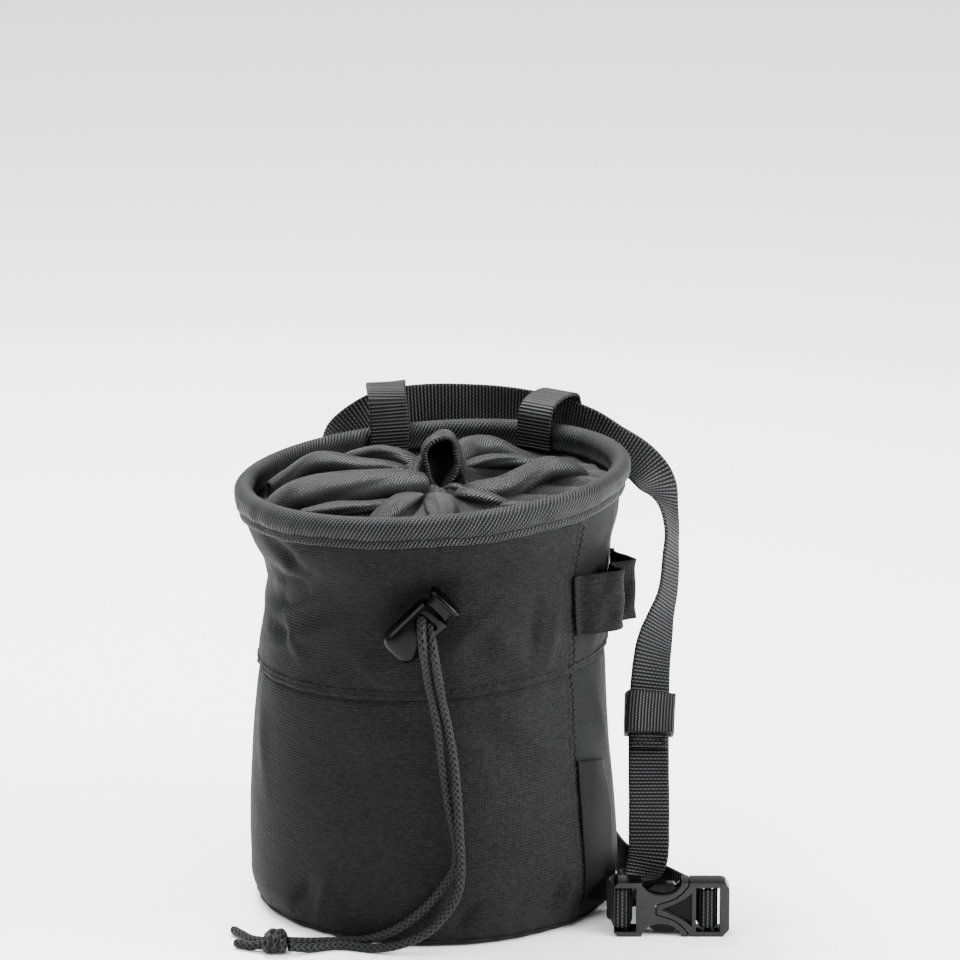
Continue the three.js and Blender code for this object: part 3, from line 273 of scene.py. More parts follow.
# %% Finishes as objects
class Finish:
    """A material under construction: its Principled surface and the nodes that feed it."""

    def __init__(self, name, roughness, **constants):
        self.material = bpy.data.materials.new(name)
        self.material.use_nodes = True
        self.tree = self.material.node_tree
        self.surface = self.tree.nodes["Principled BSDF"]
        self.surface.inputs["Roughness"].default_value = roughness
        for words, value in constants.items():
            self.surface.inputs[words.replace("_", " ")].default_value = value
        place = self.node("Attribute", {"attribute_name": "weave"}, output="Vector")
        split = self.node("SeparateXYZ", {}, (place,))
        self.along = split
        self.across = Wire(self, split.socket.node.outputs["Y"])
        self.position = self.node("NewGeometry", {}, output="Position")

    def node(self, kind, settings, values=(), output=0, **sockets):
        made = self.tree.nodes.new("ShaderNode" + kind)
        for key, value in settings.items():
            setattr(made, key, value)
        for place, value in [*enumerate(values), *sockets.items()]:
            if isinstance(value, Wire):
                self.tree.links.new(value.socket, made.inputs[place])
            elif value is not None:
                made.inputs[place].default_value = value
        return Wire(self, made.outputs[output])

    def noise(self, size, detail=2.0, stretch=(1, 1, 1)):
        """Cloudy noise from 0 to 1 whose lumps are `size` millimetres across."""
        scaled = self.node("Mapping", {"vector_type": "POINT"}, (self.position, None, None, stretch))
        scale = 1 / (size * MM)
        return self.node("TexNoise", {"normalize": True}, (scaled,), Scale=scale, Detail=detail)

    def colour(self, share, dark, light):
        """Paint the surface between two colours."""
        mixed = self.node("Mix", {"data_type": "RGBA"}, (share,), 2)
        mixed.socket.node.inputs[6].default_value = (*dark, 1)
        mixed.socket.node.inputs[7].default_value = (*light, 1)
        self.tree.links.new(mixed.socket, self.surface.inputs["Base Color"])

    def rough(self, value):
        self.tree.links.new(value.socket, self.surface.inputs["Roughness"])

    def relief(self, height, depth):
        """Raise the surface by up to `depth` millimetres where height is 1."""
        bump = self.node("Bump", {}, Strength=1.0, Distance=depth * MM, Height=height)
        self.tree.links.new(bump.socket, self.surface.inputs["Normal"])


# %% [markdown]
# The body is a plain-woven nylon with a matt, slightly dusty face. Its ribs are a millimetre apart, and
# shorter grains lie between them, so at this distance it shows as a fine salt that is longer across than
# upwards.

# %% Body nylon
NYLON_DARK = (0.0012, 0.0012, 0.0013)
NYLON_LIGHT = (0.0135, 0.0135, 0.0138)
THREAD = 1.05  # pitch of the body's threads


def body_nylon():
    finish = Finish("body nylon", 0.7, Specular_IOR_Level=0.05)
    threads = (finish.along / THREAD).wave() * 0.3 + (finish.across / THREAD).wave() * 0.7
    grain = finish.noise(0.9, 3, (0.45, 0.45, 1.6))
    salt = finish.noise(0.45, 1, (0.7, 0.7, 1.5)).within(0.56, 0.78)
    cloud = finish.noise(26, 2)
    weave = threads * 0.3 + grain.within(0.4, 0.64) * 0.4
    finish.colour(weave + cloud * 0.2 + salt * 0.8, NYLON_DARK, NYLON_LIGHT)
    finish.rough(0.5 + grain * 0.25)
    finish.relief(threads * 0.5 + grain, 0.34)
    return finish.material


def side_mesh():
    """The side panel is a spacer knit with a fine dotted face."""
    finish = Finish("side knit", 0.7, Specular_IOR_Level=0.1)
    rows = (finish.across / 0.9).floor()
    dots = ((finish.along / 0.95 + rows * 0.5).wave() * (finish.across / 0.9).wave()) ** 0.7
    cloud = finish.noise(20, 2)
    finish.colour(dots * 0.7 + cloud * 0.3, (0.001, 0.001, 0.0011), (0.012, 0.012, 0.0123))
    finish.relief(dots, 0.22)
    return finish.material


# %% [markdown]
# The closure is a lighter nylon twill. Its floating threads catch the light, so it is smoother and
# brighter than the body, with a fine diagonal line.


# %% Closure twill
def closure_twill():
    finish = Finish("closure twill", 0.42, Specular_IOR_Level=0.2)
    diagonal = ((finish.along + finish.across) / 1.15).wave()
    float_ends = ((finish.along - finish.across) / 1.5).wave()
    line = diagonal * (0.55 + float_ends * 0.45)
    grain = finish.noise(1.1, 2)
    finish.colour(line**2 * 0.85 + grain * 0.15, (0.0003, 0.0003, 0.0004), (0.028, 0.028, 0.0284))
    finish.rough(0.6 - line * 0.22)
    finish.relief(line + grain * 0.3, 0.34)
    return finish.material


# %% [markdown]
# The rim's binding is a bias tape. Its ribs run across it at a slant, and each rib is a row of small
# stitches of warp. Their tops are painted light as a painted highlight, and the hollows between them near
# black as painted shade.


# %% Binding tape
def binding_tape():
    finish = Finish("binding tape", 0.6, Specular_IOR_Level=0.1)
    slant = (finish.along - finish.across * 0.62) / 1.45
    beads = ((finish.across + finish.along * 0.25) / 1.15 + (slant + 0.5).floor() * 0.5).wave()
    height = slant.wave() * (0.3 + beads * 0.7)
    uneven_highlight = finish.noise(9, 2)
    # painted highlight on the raised warp and painted shade in the hollows, stronger or weaker in uneven
    # patches
    finish.colour(height**1.7 * (0.45 + uneven_highlight), (0.0006, 0.0006, 0.0007), (0.075, 0.075, 0.077))
    finish.relief(height, 0.34)
    return finish.material


# %% [markdown]
# Webbing is thick yarn over a weft that shows as a rib every 1.3 mm across its whole width. The warp
# floats lie on the ribs like grains of rice. Their tops are painted light as a painted highlight, and the
# valleys between them are painted black as painted shade.

# %% Webbing
RIB = 1.3


def webbing(name, float_pitch, light):
    finish = Finish(name, 0.55, Specular_IOR_Level=0.1)
    rib = (finish.along / RIB).wave()
    row = (finish.along / RIB + 0.25).floor()
    floats = (finish.across / float_pitch + row * 0.5).wave()
    height = rib**1.2 * (0.66 + floats * 0.34)
    uneven_highlight = finish.noise(14, 2)
    # shine is a painted highlight on the rib tops, in uneven patches; the black valleys are painted shade
    shine = (height**2 * (0.5 + uneven_highlight)).within(0.08, 1.0)
    finish.colour(shine, (0.0006, 0.0006, 0.0007), (light, light, light * 1.03))
    finish.relief(height, 0.22)
    return finish.material


# %% [markdown]
# The cord's sheath is braided: two sets of yarns wind round it against each other, and each one that lies
# on top shows as a short slanted grain. Those tops are painted light as a painted highlight, with painted
# shade between the yarns.


# %% Braid
BRAID_PITCH, YARNS = 2.4, 5  # millimetres along the cord, and yarns of one hand round it


def braid():
    finish = Finish("braided cord", 0.5, Specular_IOR_Level=0.1)
    one = (finish.along / BRAID_PITCH + finish.across * YARNS).wave()
    other = (finish.along / BRAID_PITCH - finish.across * YARNS).wave()
    over = one.maths("MAXIMUM", one, other)
    grain = over**3
    # the yarns on top are painted light as a painted highlight, and the gaps between them dark as painted
    # shade
    finish.colour(grain, (0.0005, 0.0005, 0.0006), (0.017, 0.017, 0.0174))
    finish.relief(grain, 0.16)
    return finish.material


# %% [markdown]
# The buckle is moulded with a fine grain on its faces, which looks grey, and has polished edges. The cord
# lock is a smooth, glossy black moulding. The label is a coated strip with hardly any shine, and the
# sewing thread is black.


# %% Plastics and label
def moulded(name, roughness, gloss, dark, light, grain_size, depth):
    finish = Finish(name, roughness, Specular_IOR_Level=gloss)
    grain = finish.noise(grain_size, 3)
    finish.colour(grain, (dark, dark, dark), (light, light, light * 1.02))
    finish.rough(roughness - 0.06 + grain * 0.14)
    finish.relief(grain, depth)
    return finish.material


def label_coating():
    finish = Finish("label coating", 0.6, Specular_IOR_Level=0.06)
    grain = finish.noise(1.2, 2)
    stripe = finish.across.within(3.2, 3.4) * (1 - finish.across.within(5.6, 5.8))
    finish.colour(grain, (0.0022, 0.0022, 0.0022), (0.0042, 0.0042, 0.0041))
    finish.relief(grain - stripe * 0.5, 0.06)
    return finish.material


NYLON = body_nylon()
KNIT = side_mesh()
TWILL = closure_twill()
TAPE = binding_tape()
BELT_WEB = webbing("belt webbing", 1.5, 0.055)
LOOP_WEB = webbing("loop webbing", 1.1, 0.05)
BRAID = braid()
BUCKLE_GRAIN = moulded("buckle grain", 0.4, 0.2, 0.002, 0.02, 0.6, 0.12)
BUCKLE_EDGE = moulded("buckle edge", 0.22, 0.1, 0.0004, 0.001, 2, 0.01)
LOCK_GLOSS = moulded("cord lock gloss", 0.2, 0.11, 0.0003, 0.0007, 3, 0.01)
LABEL = label_coating()
THREAD_BLACK = moulded("sewing thread", 0.6, 0.15, 0.0006, 0.002, 0.5, 0.02)
print("finishes:", len(bpy.data.materials))

# %% [markdown]
# ## Smooth lines
# A cord or a strap follows a few given points. A centripetal Catmull-Rom curve goes through all
# of them without loops or overshoot, which is why CAD programs use it too.


# %% Curves through points
def cubic(start, end, leaving, arriving, t):
    """The smooth step from start to end with these slopes at its ends, at shares t."""
    second = -3 * start + 3 * end - 2 * leaving - arriving
    third = 2 * start - 2 * end + leaving + arriving
    return start + leaving * t + second * t**2 + third * t**3


def step_root(a, b):
    return np.maximum(np.linalg.norm(b - a, axis=1)[:, None], 1e-9) ** 0.5


def catmull(points, at):
    """Places on the curve through points, at fractional positions such as 3.5 for halfway from 3 to 4."""
    points = np.asarray(points, float)
    padded = np.vstack([2 * points[0] - points[1], points, 2 * points[-1] - points[-2]])
    at = np.clip(np.asarray(at, float), 0, len(points) - 1)
    span = np.minimum(at.astype(int), len(points) - 2)
    t = (at - span)[:, None]
    p0, p1, p2, p3 = (padded[span + k] for k in range(4))
    before, here, after = (step_root(a, b) for a, b in ((p0, p1), (p1, p2), (p2, p3)))
    start = ((p1 - p0) / before - (p2 - p0) / (before + here) + (p2 - p1) / here) * here
    end = ((p2 - p1) / here - (p3 - p1) / (here + after) + (p3 - p2) / after) * here
    return cubic(p1, p2, start, end, t)


def evenly(points, step):
    """Fractional positions on the curve that lie `step` apart along it, and its length."""
    fine = np.linspace(0, len(points) - 1, 60 * len(points))
    places = catmull(points, fine)
    run = running(places)
    count = max(2, round(run[-1] / step) + 1)
    return np.interp(np.linspace(0, run[-1], count), run, fine), run[-1]


def unit(vectors):
    return vectors / np.maximum(np.linalg.norm(vectors, axis=-1, keepdims=True), 1e-12)


def tangents(places):
    return unit(np.gradient(places, axis=0))


# %% [markdown]
# ## The drawcord
# Two strands come out of the cord lock, hang down the bag's front and lie on the floor up to their knot.
# A curve with a round bevel would be a smooth pipe, and a braided cord isn't: each yarn that comes to the
# top is a small hump. So the tube is made ring by ring, and its radius rises and falls in the braid's
# pattern.

# %% The strands' routes, in metres as in the CAD model
CORD = 0.0032
CORD_A = [
    (-0.0037, -0.0610, 0.1250), (-0.0037, -0.067, 0.1249), (-0.0037, -0.072, 0.1243),
    (-0.0036, -0.0762, 0.1219), (-0.0031, -0.0779, 0.1164), (-0.0020, -0.0760, 0.109),
    (-0.0011, -0.0722, 0.1015), (0.0002, -0.0692, 0.0935), (0.0020, -0.0684, 0.084),
    (0.0033, -0.0682, 0.0723), (0.0049, -0.0684, 0.061), (0.0064, -0.0688, 0.0515),
    (0.0079, -0.0690, 0.044), (0.0086, -0.0692, 0.0373), (0.0078, -0.0692, 0.0315),
    (0.0046, -0.0694, 0.026), (-0.0009, -0.0698, 0.0188), (-0.0103, -0.0700, 0.0106),
    (-0.0214, -0.0676, 0.0046), (-0.0334, -0.0629, 0.0019), (-0.0442, -0.0636, 0.0019),
    (-0.0523, -0.0668, 0.0032),
]
CORD_B = [
    (-0.0012, -0.0610, 0.1224), (-0.0012, -0.067, 0.1223), (-0.0010, -0.072, 0.1217),
    (-0.0001, -0.0760, 0.1192), (0.0008, -0.0777, 0.114), (0.0017, -0.0762, 0.108),
    (0.0026, -0.0726, 0.101), (0.0036, -0.0696, 0.094), (0.0056, -0.0686, 0.0844),
    (0.0076, -0.0689, 0.0723), (0.0088, -0.0702, 0.061), (0.0094, -0.0716, 0.0514),
    (0.0098, -0.0723, 0.0441), (0.0102, -0.0727, 0.0371), (0.0102, -0.0730, 0.030),
    (0.0088, -0.0733, 0.0224), (0.0050, -0.0736, 0.0161), (-0.0016, -0.0740, 0.0093),
    (-0.0103, -0.0736, 0.0047), (-0.0192, -0.0714, 0.0022), (-0.0334, -0.0670, 0.0019),
    (-0.044, -0.0703, 0.0019), (-0.0515, -0.0728, 0.0032),
]
TAIL_A = [
    (-0.0576, -0.0684, 0.0040), (-0.0650, -0.0615, 0.0020), (-0.0692, -0.0554, 0.0019),
    (-0.0726, -0.0500, 0.0019),
]
TAIL_B = [
    (-0.0580, -0.0702, 0.0040), (-0.0650, -0.0680, 0.0020), (-0.0684, -0.0662, 0.0019),
    (-0.0714, -0.0646, 0.0019),
]
KNOT = np.array([-0.0566, -0.0697, 0.0045])


# %% A braided tube
def tube(name, places, diameter, sides=30, braided=True, ends=(1, 1)):
    """A tube along places, in millimetres. ends gives the radius that it closes to at each end."""
    along = running(places)
    forward = tangents(places)
    side = np.zeros_like(places)
    side[0] = unit(np.cross(forward[0], (0.3, 0.2, 1)))
    for k in range(1, len(places)):
        side[k] = unit(side[k - 1] - forward[k] * (side[k - 1] @ forward[k]))
    up = np.cross(forward, side)
    turn = np.linspace(0, math.tau, sides, endpoint=False)
    share = turn / math.tau
    hump = 0
    if braided:
        one = np.sin(math.pi * (along[:, None] / BRAID_PITCH + share * YARNS)) ** 2
        other = np.sin(math.pi * (along[:, None] / BRAID_PITCH - share * YARNS)) ** 2
        hump = np.maximum(one, other) - 0.6
    radius = diameter / 2 + 0.12 * hump + np.zeros((len(places), sides))
    for end, distance in zip(ends, (along, along[-1] - along)):
        if end < 1:
            near = np.clip(distance / (diameter / 2), 0, 1)
            radius *= (end + (1 - end) * np.sqrt(1 - (1 - near) ** 2))[:, None]
    ring = np.cos(turn)[None, :, None] * side[:, None] + np.sin(turn)[None, :, None] * up[:, None]
    points = places[:, None] + ring * radius[..., None]
    weave = woven(along, np.linspace(0, 1, sides + 1))
    return grid_mesh(name, points, weave, closed_columns=True, caps=True)


# %% [markdown]
# The knot is an overhand knot tied in both strands at once. Pulled tight, it shows as the two strands
# going through a coil of themselves, and the two cut ends stick out past it.


# %% Knot
def line(points):
    """Close, even places on the curve through points that are in metres, in millimetres, and its length."""
    at, length = evenly(np.array(points) / MM, 0.35)
    return catmull(np.array(points) / MM, at), length


COIL_STEP, COIL_DEEP, COIL_TALL, COIL_SLANT = 2.7, 3.7, 2.75, 0.9
turns = np.linspace(-0.6, 2.1, 90)
turn = turns * math.tau
sideways = -COIL_STEP * (turns - 0.75) + COIL_SLANT * np.cos(turn)
coil = np.stack([sideways, COIL_DEEP * np.cos(turn), COIL_TALL * np.sin(turn)], -1)
ends_a = [(-0.0530, -0.0674, 0.0036), (-0.0566, -0.0684, 0.0046), *TAIL_A]
ends_b = [(-0.0530, -0.0716, 0.0036), (-0.0566, -0.0706, 0.0046), *TAIL_B]
knot_parts = [
    tube("coil", KNOT / MM + coil, CORD / MM, ends=(0.3, 0.3)),
    tube("end a", line(ends_a)[0], CORD / MM, ends=(1, 0.55)),
    tube("end b", line(ends_b)[0], CORD / MM, ends=(1, 0.55)),
]
knot = dress(joined("cord_knot_braided", knot_parts), "bag", BRAID, "cord_braid", "cord_knot")


# %% The two strands
def strand(name, route, *nodes):
    places, length = line(route)
    made = dress(tube(name, places, CORD / MM), "bag", BRAID, "cord_braid", *nodes)
    path = (places[::4] * MM).tolist()
    round(length * MM, 4)
    print(name, "is", round(length), "mm long")


strand("drawcord_a", CORD_A, "cord_a")
strand("drawcord_b", CORD_B, "cord_b")

# %% [markdown]
# ## The bag's wall
# The wall is lofted: its radius is worked out from a table of sections, then pushed in and out by a table
# of broad folds and one of narrow creases. Lengths are shares of the bag's height and radius. The rim
# stands higher on the right, because the belt pulls there.

# %% Sections, folds and creases
HEIGHT, RADIUS, RIM_RADIUS = 162.0, 66.0, 68.3
RIM_ROLL = math.tan(math.radians(4))
WALL = 2.0
SEAM = 93.5
BASE_EDGE = 3.2
SIDE_SEAM = -38.5  # plan angle of the upright seam, degrees
OUTER_FLANGE = 11.5  # of the rim's binding
GAP = 0.3  # between pieces
# height; left, right, front and back radius; share of the step to the rim's radius
SECTIONS = np.array([
    (0.0, 1.02, 1.024, 1.02, 1.005, 0), (0.123, 1.026, 1.024, 1.022, 1.006, 0),
    (0.247, 1.024, 1.002, 1.008, 1.0, 0), (0.34, 1.014, 0.978, 0.992, 0.985, 0),
    (0.444, 0.998, 0.962, 0.97, 0.975, 0), (0.531, 0.976, 0.953, 0.953, 0.968, 0),
    (0.577, 0.961, 0.947, 0.943, 0.962, 0), (0.614, 0.966, 0.968, 0.951, 0.966, 0),
    (0.67, 0.952, 0.974, 0.938, 0.964, 0), (0.73, 0.936, 0.975, 0.93, 0.968, 0),
    (0.784, 0.918, 0.979, 0.94, 0.978, 0), (0.827, 0.94, 0.988, 0.962, 0.99, 0.05),
    (0.87, 0.985, 1.006, 0.99, 1.0, 0.3), (0.926, 1.016, 1.004, 0.998, 1.0, 0.8),
    (1.0, 1.024, 1.016, 0.998, 1.0, 1),
])
# angle, height, degrees wide, share of the height tall, share of the radius out, degrees of slant
FOLDS = [
    (222, 0.7, 9, 0.045, 0.028, 14), (214, 0.77, 10, 0.03, -0.026, 8), (236, 0.64, 9, 0.05, -0.018, 10),
    (270, 0.775, 13, 0.085, -0.04, 5), (292, 0.7, 7, 0.07, 0.022, -9), (308, 0.66, 7, 0.09, 0.02, 4),
    (300, 0.8, 10, 0.04, -0.014, 0), (268, 0.49, 16, 0.03, 0.014, 20), (250, 0.4, 22, 0.08, -0.01, 20),
    (318, 0.12, 9, 0.06, 0.016, 0), (227, 0.09, 7, 0.05, -0.018, 0), (277, 0.07, 7, 0.04, -0.014, 0),
    (305, 0.08, 6, 0.05, -0.015, 0), (150, 0.7, 12, 0.06, 0.018, 8), (75, 0.66, 12, 0.07, -0.018, -8),
    (110, 0.3, 18, 0.1, -0.012, 10),
]
# from angle and height, to angle and height, millimetres wide and millimetres out
CREASES = [
    (212, 0.91, 227, 0.86, 3.4, -1.8), (203, 0.79, 235, 0.92, 3.6, 1.3),
    (205, 0.83, 222, 0.82, 3.0, -1.2), (211, 0.74, 232, 0.8, 2.6, 1.3),
    (201, 0.695, 218, 0.685, 3.2, -1.5), (222, 0.645, 212, 0.71, 2.8, 0.9),
    (242, 0.68, 255, 0.615, 4.0, 1.0), (277, 0.68, 292, 0.765, 4.2, 1.2),
    (316, 0.75, 310, 0.61, 3.0, 1.1), (307, 0.77, 303, 0.63, 3.2, -1.0),
    (291, 0.885, 315, 0.875, 3.4, 0.7), (247, 0.9, 272, 0.87, 4.0, -0.6),
    (250, 0.52, 272, 0.34, 5.5, 0.7), (196, 0.5, 204, 0.32, 5.0, 0.6), (290, 0.55, 314, 0.4, 6.0, 0.6),
    (286, 0.5, 305, 0.33, 5.0, -0.5), (235, 0.5, 250, 0.3, 6.0, -0.5), (221, 0.055, 228, 0.13, 2.4, -1.2),
    (231, 0.05, 236, 0.15, 2.2, 0.7), (277, 0.05, 283, 0.1, 2.2, -1.1), (270, 0.05, 274, 0.14, 2.6, 0.6),
    (309, 0.05, 314, 0.12, 2.2, -1.3), (315, 0.05, 319, 0.16, 2.4, 0.8),
    (296, 0.05, 300, 0.11, 2.6, -0.6), (258, 0.69, 268, 0.83, 8.0, -1.6),
    (285, 0.66, 290, 0.85, 7.0, -1.3), (335, 0.62, 345, 0.86, 4.0, 0.9), (352, 0.6, 356, 0.8, 3.6, -0.9),
    (338, 0.5, 352, 0.3, 5.0, 0.6), (20, 0.64, 34, 0.84, 4.0, 1.1), (48, 0.62, 60, 0.8, 4.5, -1.0),
    (85, 0.64, 98, 0.86, 4.2, 1.0), (120, 0.62, 132, 0.78, 4.0, -1.0), (150, 0.66, 168, 0.84, 3.6, 1.1),
    (172, 0.62, 184, 0.72, 3.6, -0.9), (20, 0.5, 36, 0.3, 5.5, 0.6), (70, 0.48, 90, 0.26, 5.5, -0.6),
    (120, 0.5, 136, 0.3, 6.0, 0.6), (160, 0.46, 172, 0.28, 5.0, -0.5), (40, 0.05, 45, 0.14, 2.4, -1.0),
    (96, 0.05, 101, 0.15, 2.4, -1.0), (142, 0.05, 147, 0.13, 2.4, -1.1),
    (180, 0.05, 184, 0.14, 2.4, -1.0), (0, 0.05, 4, 0.14, 2.4, -0.9),
]


# %% The wall's radius
TUCK, TUCK_FROM = 3.6, 13.0  # how far the wall draws in to the base, and from what height
CREASE_DEPTH = 1.45  # all creases together, as a share of the table's own depths


def section_value(column, share):
    heights, values = SECTIONS[:, 0], SECTIONS[:, column]
    slopes = np.gradient(values, heights)
    share = np.clip(share, 0, 1)
    k = np.clip(np.searchsorted(heights, share) - 1, 0, len(heights) - 2)
    span = heights[k + 1] - heights[k]
    t = (share - heights[k]) / span
    rise = values[k] * (1 + 2 * t) * (1 - t) ** 2 + values[k + 1] * t * t * (3 - 2 * t)
    return rise + span * (slopes[k] * t * (1 - t) ** 2 - slopes[k + 1] * t * t * (1 - t))


def degrees_between(angle, middle):
    return (angle - middle + 180) % 360 - 180


def fold_depth(angle, height):
    """How far folds and creases stand out of the plain wall, in millimetres. angle is in degrees."""
    out = np.zeros(np.broadcast(angle, height).shape)
    for middle, share, wide, tall, depth, slant in FOLDS:
        up = (height / HEIGHT - share) / tall
        turn = degrees_between(angle, middle + slant * up) / wide
        out += depth * RADIUS * np.exp(-(turn**2) - up**2)
    for angle_a, share_a, angle_b, share_b, wide, depth in CREASES:
        round_mm = np.radians(degrees_between(angle, angle_a)) * RADIUS
        up_mm = height - share_a * HEIGHT
        turned = math.radians(degrees_between(angle_b, angle_a))
        run = np.array([turned * RADIUS, (share_b - share_a) * HEIGHT])
        t = (round_mm * run[0] + up_mm * run[1]) / (run @ run)
        inside = np.clip(t, 0, 1)
        distance = np.hypot(round_mm - inside * run[0], up_mm - inside * run[1])
        taper = 0.35 + 0.65 * np.sin(math.pi * np.clip(t, 0, 1))
        out += CREASE_DEPTH * depth * taper * np.exp(-((distance / wide) ** 2))
    return out


def seam_puckers(angle, height):
    """Short ripples that a line of stitches leaves in the cloth beside it."""
    around = np.radians(angle) * RADIUS
    along = 0.6 * np.sin(around / 1.9 + 2 * np.sin(around / 11)) + 0.4 * np.sin(around / 3.7 + 1)
    beside = np.exp(-np.abs(height - SEAM) / 4.5) + 0.8 * np.exp(-np.abs(height - BASE_EDGE) / 5)
    binding = 0.7 * np.exp(-np.abs(height - (HEIGHT - 13)) / 5)
    upright = np.abs(degrees_between(angle, SIDE_SEAM))
    down = 0.5 * np.sin(height / 2.1 + 1.5 * np.sin(height / 9)) * np.exp(-upright / 4)
    return 0.32 * along * (beside + binding) + 0.32 * down


def wall_point(angle, height, out=0.0, folds=1.0):
    """A point of the wall: angle in degrees from +X towards +Y, height before the bag's tilt."""
    angle, height = np.broadcast_arrays(np.asarray(angle, float), np.asarray(height, float))
    x, y = np.cos(np.radians(angle)), np.sin(np.radians(angle))
    share = height / HEIGHT
    sides = np.where(x < 0, section_value(1, share), section_value(2, share)) * x * x
    ends = np.where(y < 0, section_value(3, share), section_value(4, share)) * y * y
    radius = RADIUS * (sides + ends) + section_value(5, share) * (RIM_RADIUS - RADIUS)
    tuck = TUCK * np.clip(1 - height / TUCK_FROM, 0, 1) ** 2
    radius = radius + folds * fold_depth(angle, height) + out - tuck
    tilt = np.sin(math.pi / 2 * np.clip(share, 0, 1))
    return np.stack([radius * x, radius * y, height + radius * x * RIM_ROLL * tilt], -1)


seam_radius = np.linalg.norm(wall_point([0, 90, 180, 270], SEAM)[:, :2], axis=1)
print("wall radius at the seam:", np.round(seam_radius, 1))

# %% [markdown]
# The upper panel laps over the lower one, so its lower edge stands a little proud, and the stitches draw
# both panels into short puckers. The upright seam has a raised lap of its own beside it.


# %% Body panels
HEM = 1.2


def upper_hem(height):
    proud = HEM * np.exp(-np.clip(height - SEAM, 0, None) / 3.2)
    return proud - 1.1 * np.clip((SEAM - 0.4 - height) / 0.8, 0, 1)


def lower_hem(height):
    return -1.0 * np.clip((height - SEAM + 3) / 3, 0, 1)


def cloth_point(angle, height, hem, out=0.0):
    """A point on a panel's outer face. hem says how far the panel's ends stand out of the wall."""
    past = degrees_between(angle, SIDE_SEAM)
    lap = 0.55 / (1 + np.exp(np.clip((past - 0.8) * 5, -30, 30)))
    lap = lap * (past > -7) * np.clip(1 + past / 7, 0, 1)
    groove = 0.5 * np.exp(-((degrees_between(angle, SIDE_SEAM - 1.6) / 0.5) ** 2))
    return wall_point(angle, height, hem(height) + seam_puckers(angle, height) + lap - groove + out)


def panel(name, outer, inner, hem, node):
    """A panel with an outer and an inner face."""
    angles = np.linspace(-180, 180, 420, endpoint=False) + SIDE_SEAM
    face = cloth_point(*np.meshgrid(angles, outer, indexing="ij"), hem)
    back = wall_point(angles[:, None], np.array(inner)[None, :], -WALL)
    points = np.concatenate([face, back], 1)
    around = (np.append(angles, angles[0] + 360) - angles[0]) * math.radians(1) * RADIUS
    weave = woven(around, np.concatenate([outer, inner, outer[:1]]))
    made = grid_mesh(name, points, weave, closed_rows=True, closed_columns=True)
    return dress(made, "bag", NYLON, "body_nylon", node)


KNIT_TURN = 62  # degrees of the side that the knit covers


def knit_side(made):
    """The panel to the right of the upright seam is a spacer knit."""
    made.data.materials.append(KNIT)
    for face in made.data.polygons:
        turn = math.degrees(math.atan2(face.center.y, face.center.x))
        if 1.0 < degrees_between(turn, SIDE_SEAM) < KNIT_TURN:
            face.material_index = 1


upper_heights = np.concatenate([[SEAM - 1.2, SEAM - 0.9, SEAM], np.linspace(SEAM + 0.8, HEIGHT - 5, 100)])
lower_heights = np.linspace(BASE_EDGE - 0.6, SEAM + 3, 110)
upper_inner = [HEIGHT - 5, 140, 120, SEAM]
lower_inner = [SEAM, 70, 45, 20, BASE_EDGE]
knit_side(panel("upper_panel", upper_heights, upper_inner, upper_hem, "body_upper"))
knit_side(panel("lower_panel", lower_heights, lower_inner, lower_hem, "body_lower"))

# %% [markdown]
# A row of stitches is one thread that comes up out of the cloth, lies on it for two or three millimetres
# and dives into the next hole. So it is made as one thin tube whose path rises and dips along the seam.


# %% Rows of stitches
def stepped(places, pitch):
    """Close points along places, and a value that comes to 1 for a moment every `pitch` millimetres."""
    at, length = evenly(places, pitch / 9)
    distances = np.linspace(0, length, len(at))
    return catmull(places, at), np.abs(np.cos(math.pi * distances / pitch)) ** 6


def thread(name, path, thick, slot):
    dress(tube(name, path, thick, sides=6, braided=False), "bag", THREAD_BLACK, slot)


def stitches(name, places, slot, pitch, thick, dip=0.5):
    """Thread along places on the wall, with a hole every `pitch` millimetres."""
    path, holes = stepped(places, pitch)
    thread(name, path + unit(path * (1, 1, 0)) * (thick * 0.25 - dip * holes)[:, None], thick, slot)


def round_the_bag(height, hem, out):
    angles = np.linspace(0, 360, 241)
    return cloth_point(angles, height + 0.15 * np.sin(angles / 9), hem, out)


stitches("mid_seam_stitches", round_the_bag(SEAM + 2.2, upper_hem, 0.1), "body_nylon", 3.8, 0.62)

heights = np.arange(6.5, HEIGHT - OUTER_FLANGE - 1.5, 1.25)
zigzag = SIDE_SEAM + 1.3 + 0.85 * (-1.0) ** np.arange(len(heights))
over_lock = [cloth_point(a, h, upper_hem if h > SEAM else lower_hem, 0.12) for a, h in zip(zigzag, heights)]
stitches("side_seam_stitches", np.array(over_lock), "body_nylon", 2.2, 0.42, 0.2)


# %% [markdown]
# The base is a disc of the same nylon. It runs in under its seam with a soft round edge, and is flat
# where it rests.


# %% Base
BASE_THICK = 2.0
PLUG = 9.0  # radius of the disc that fills the ring's middle


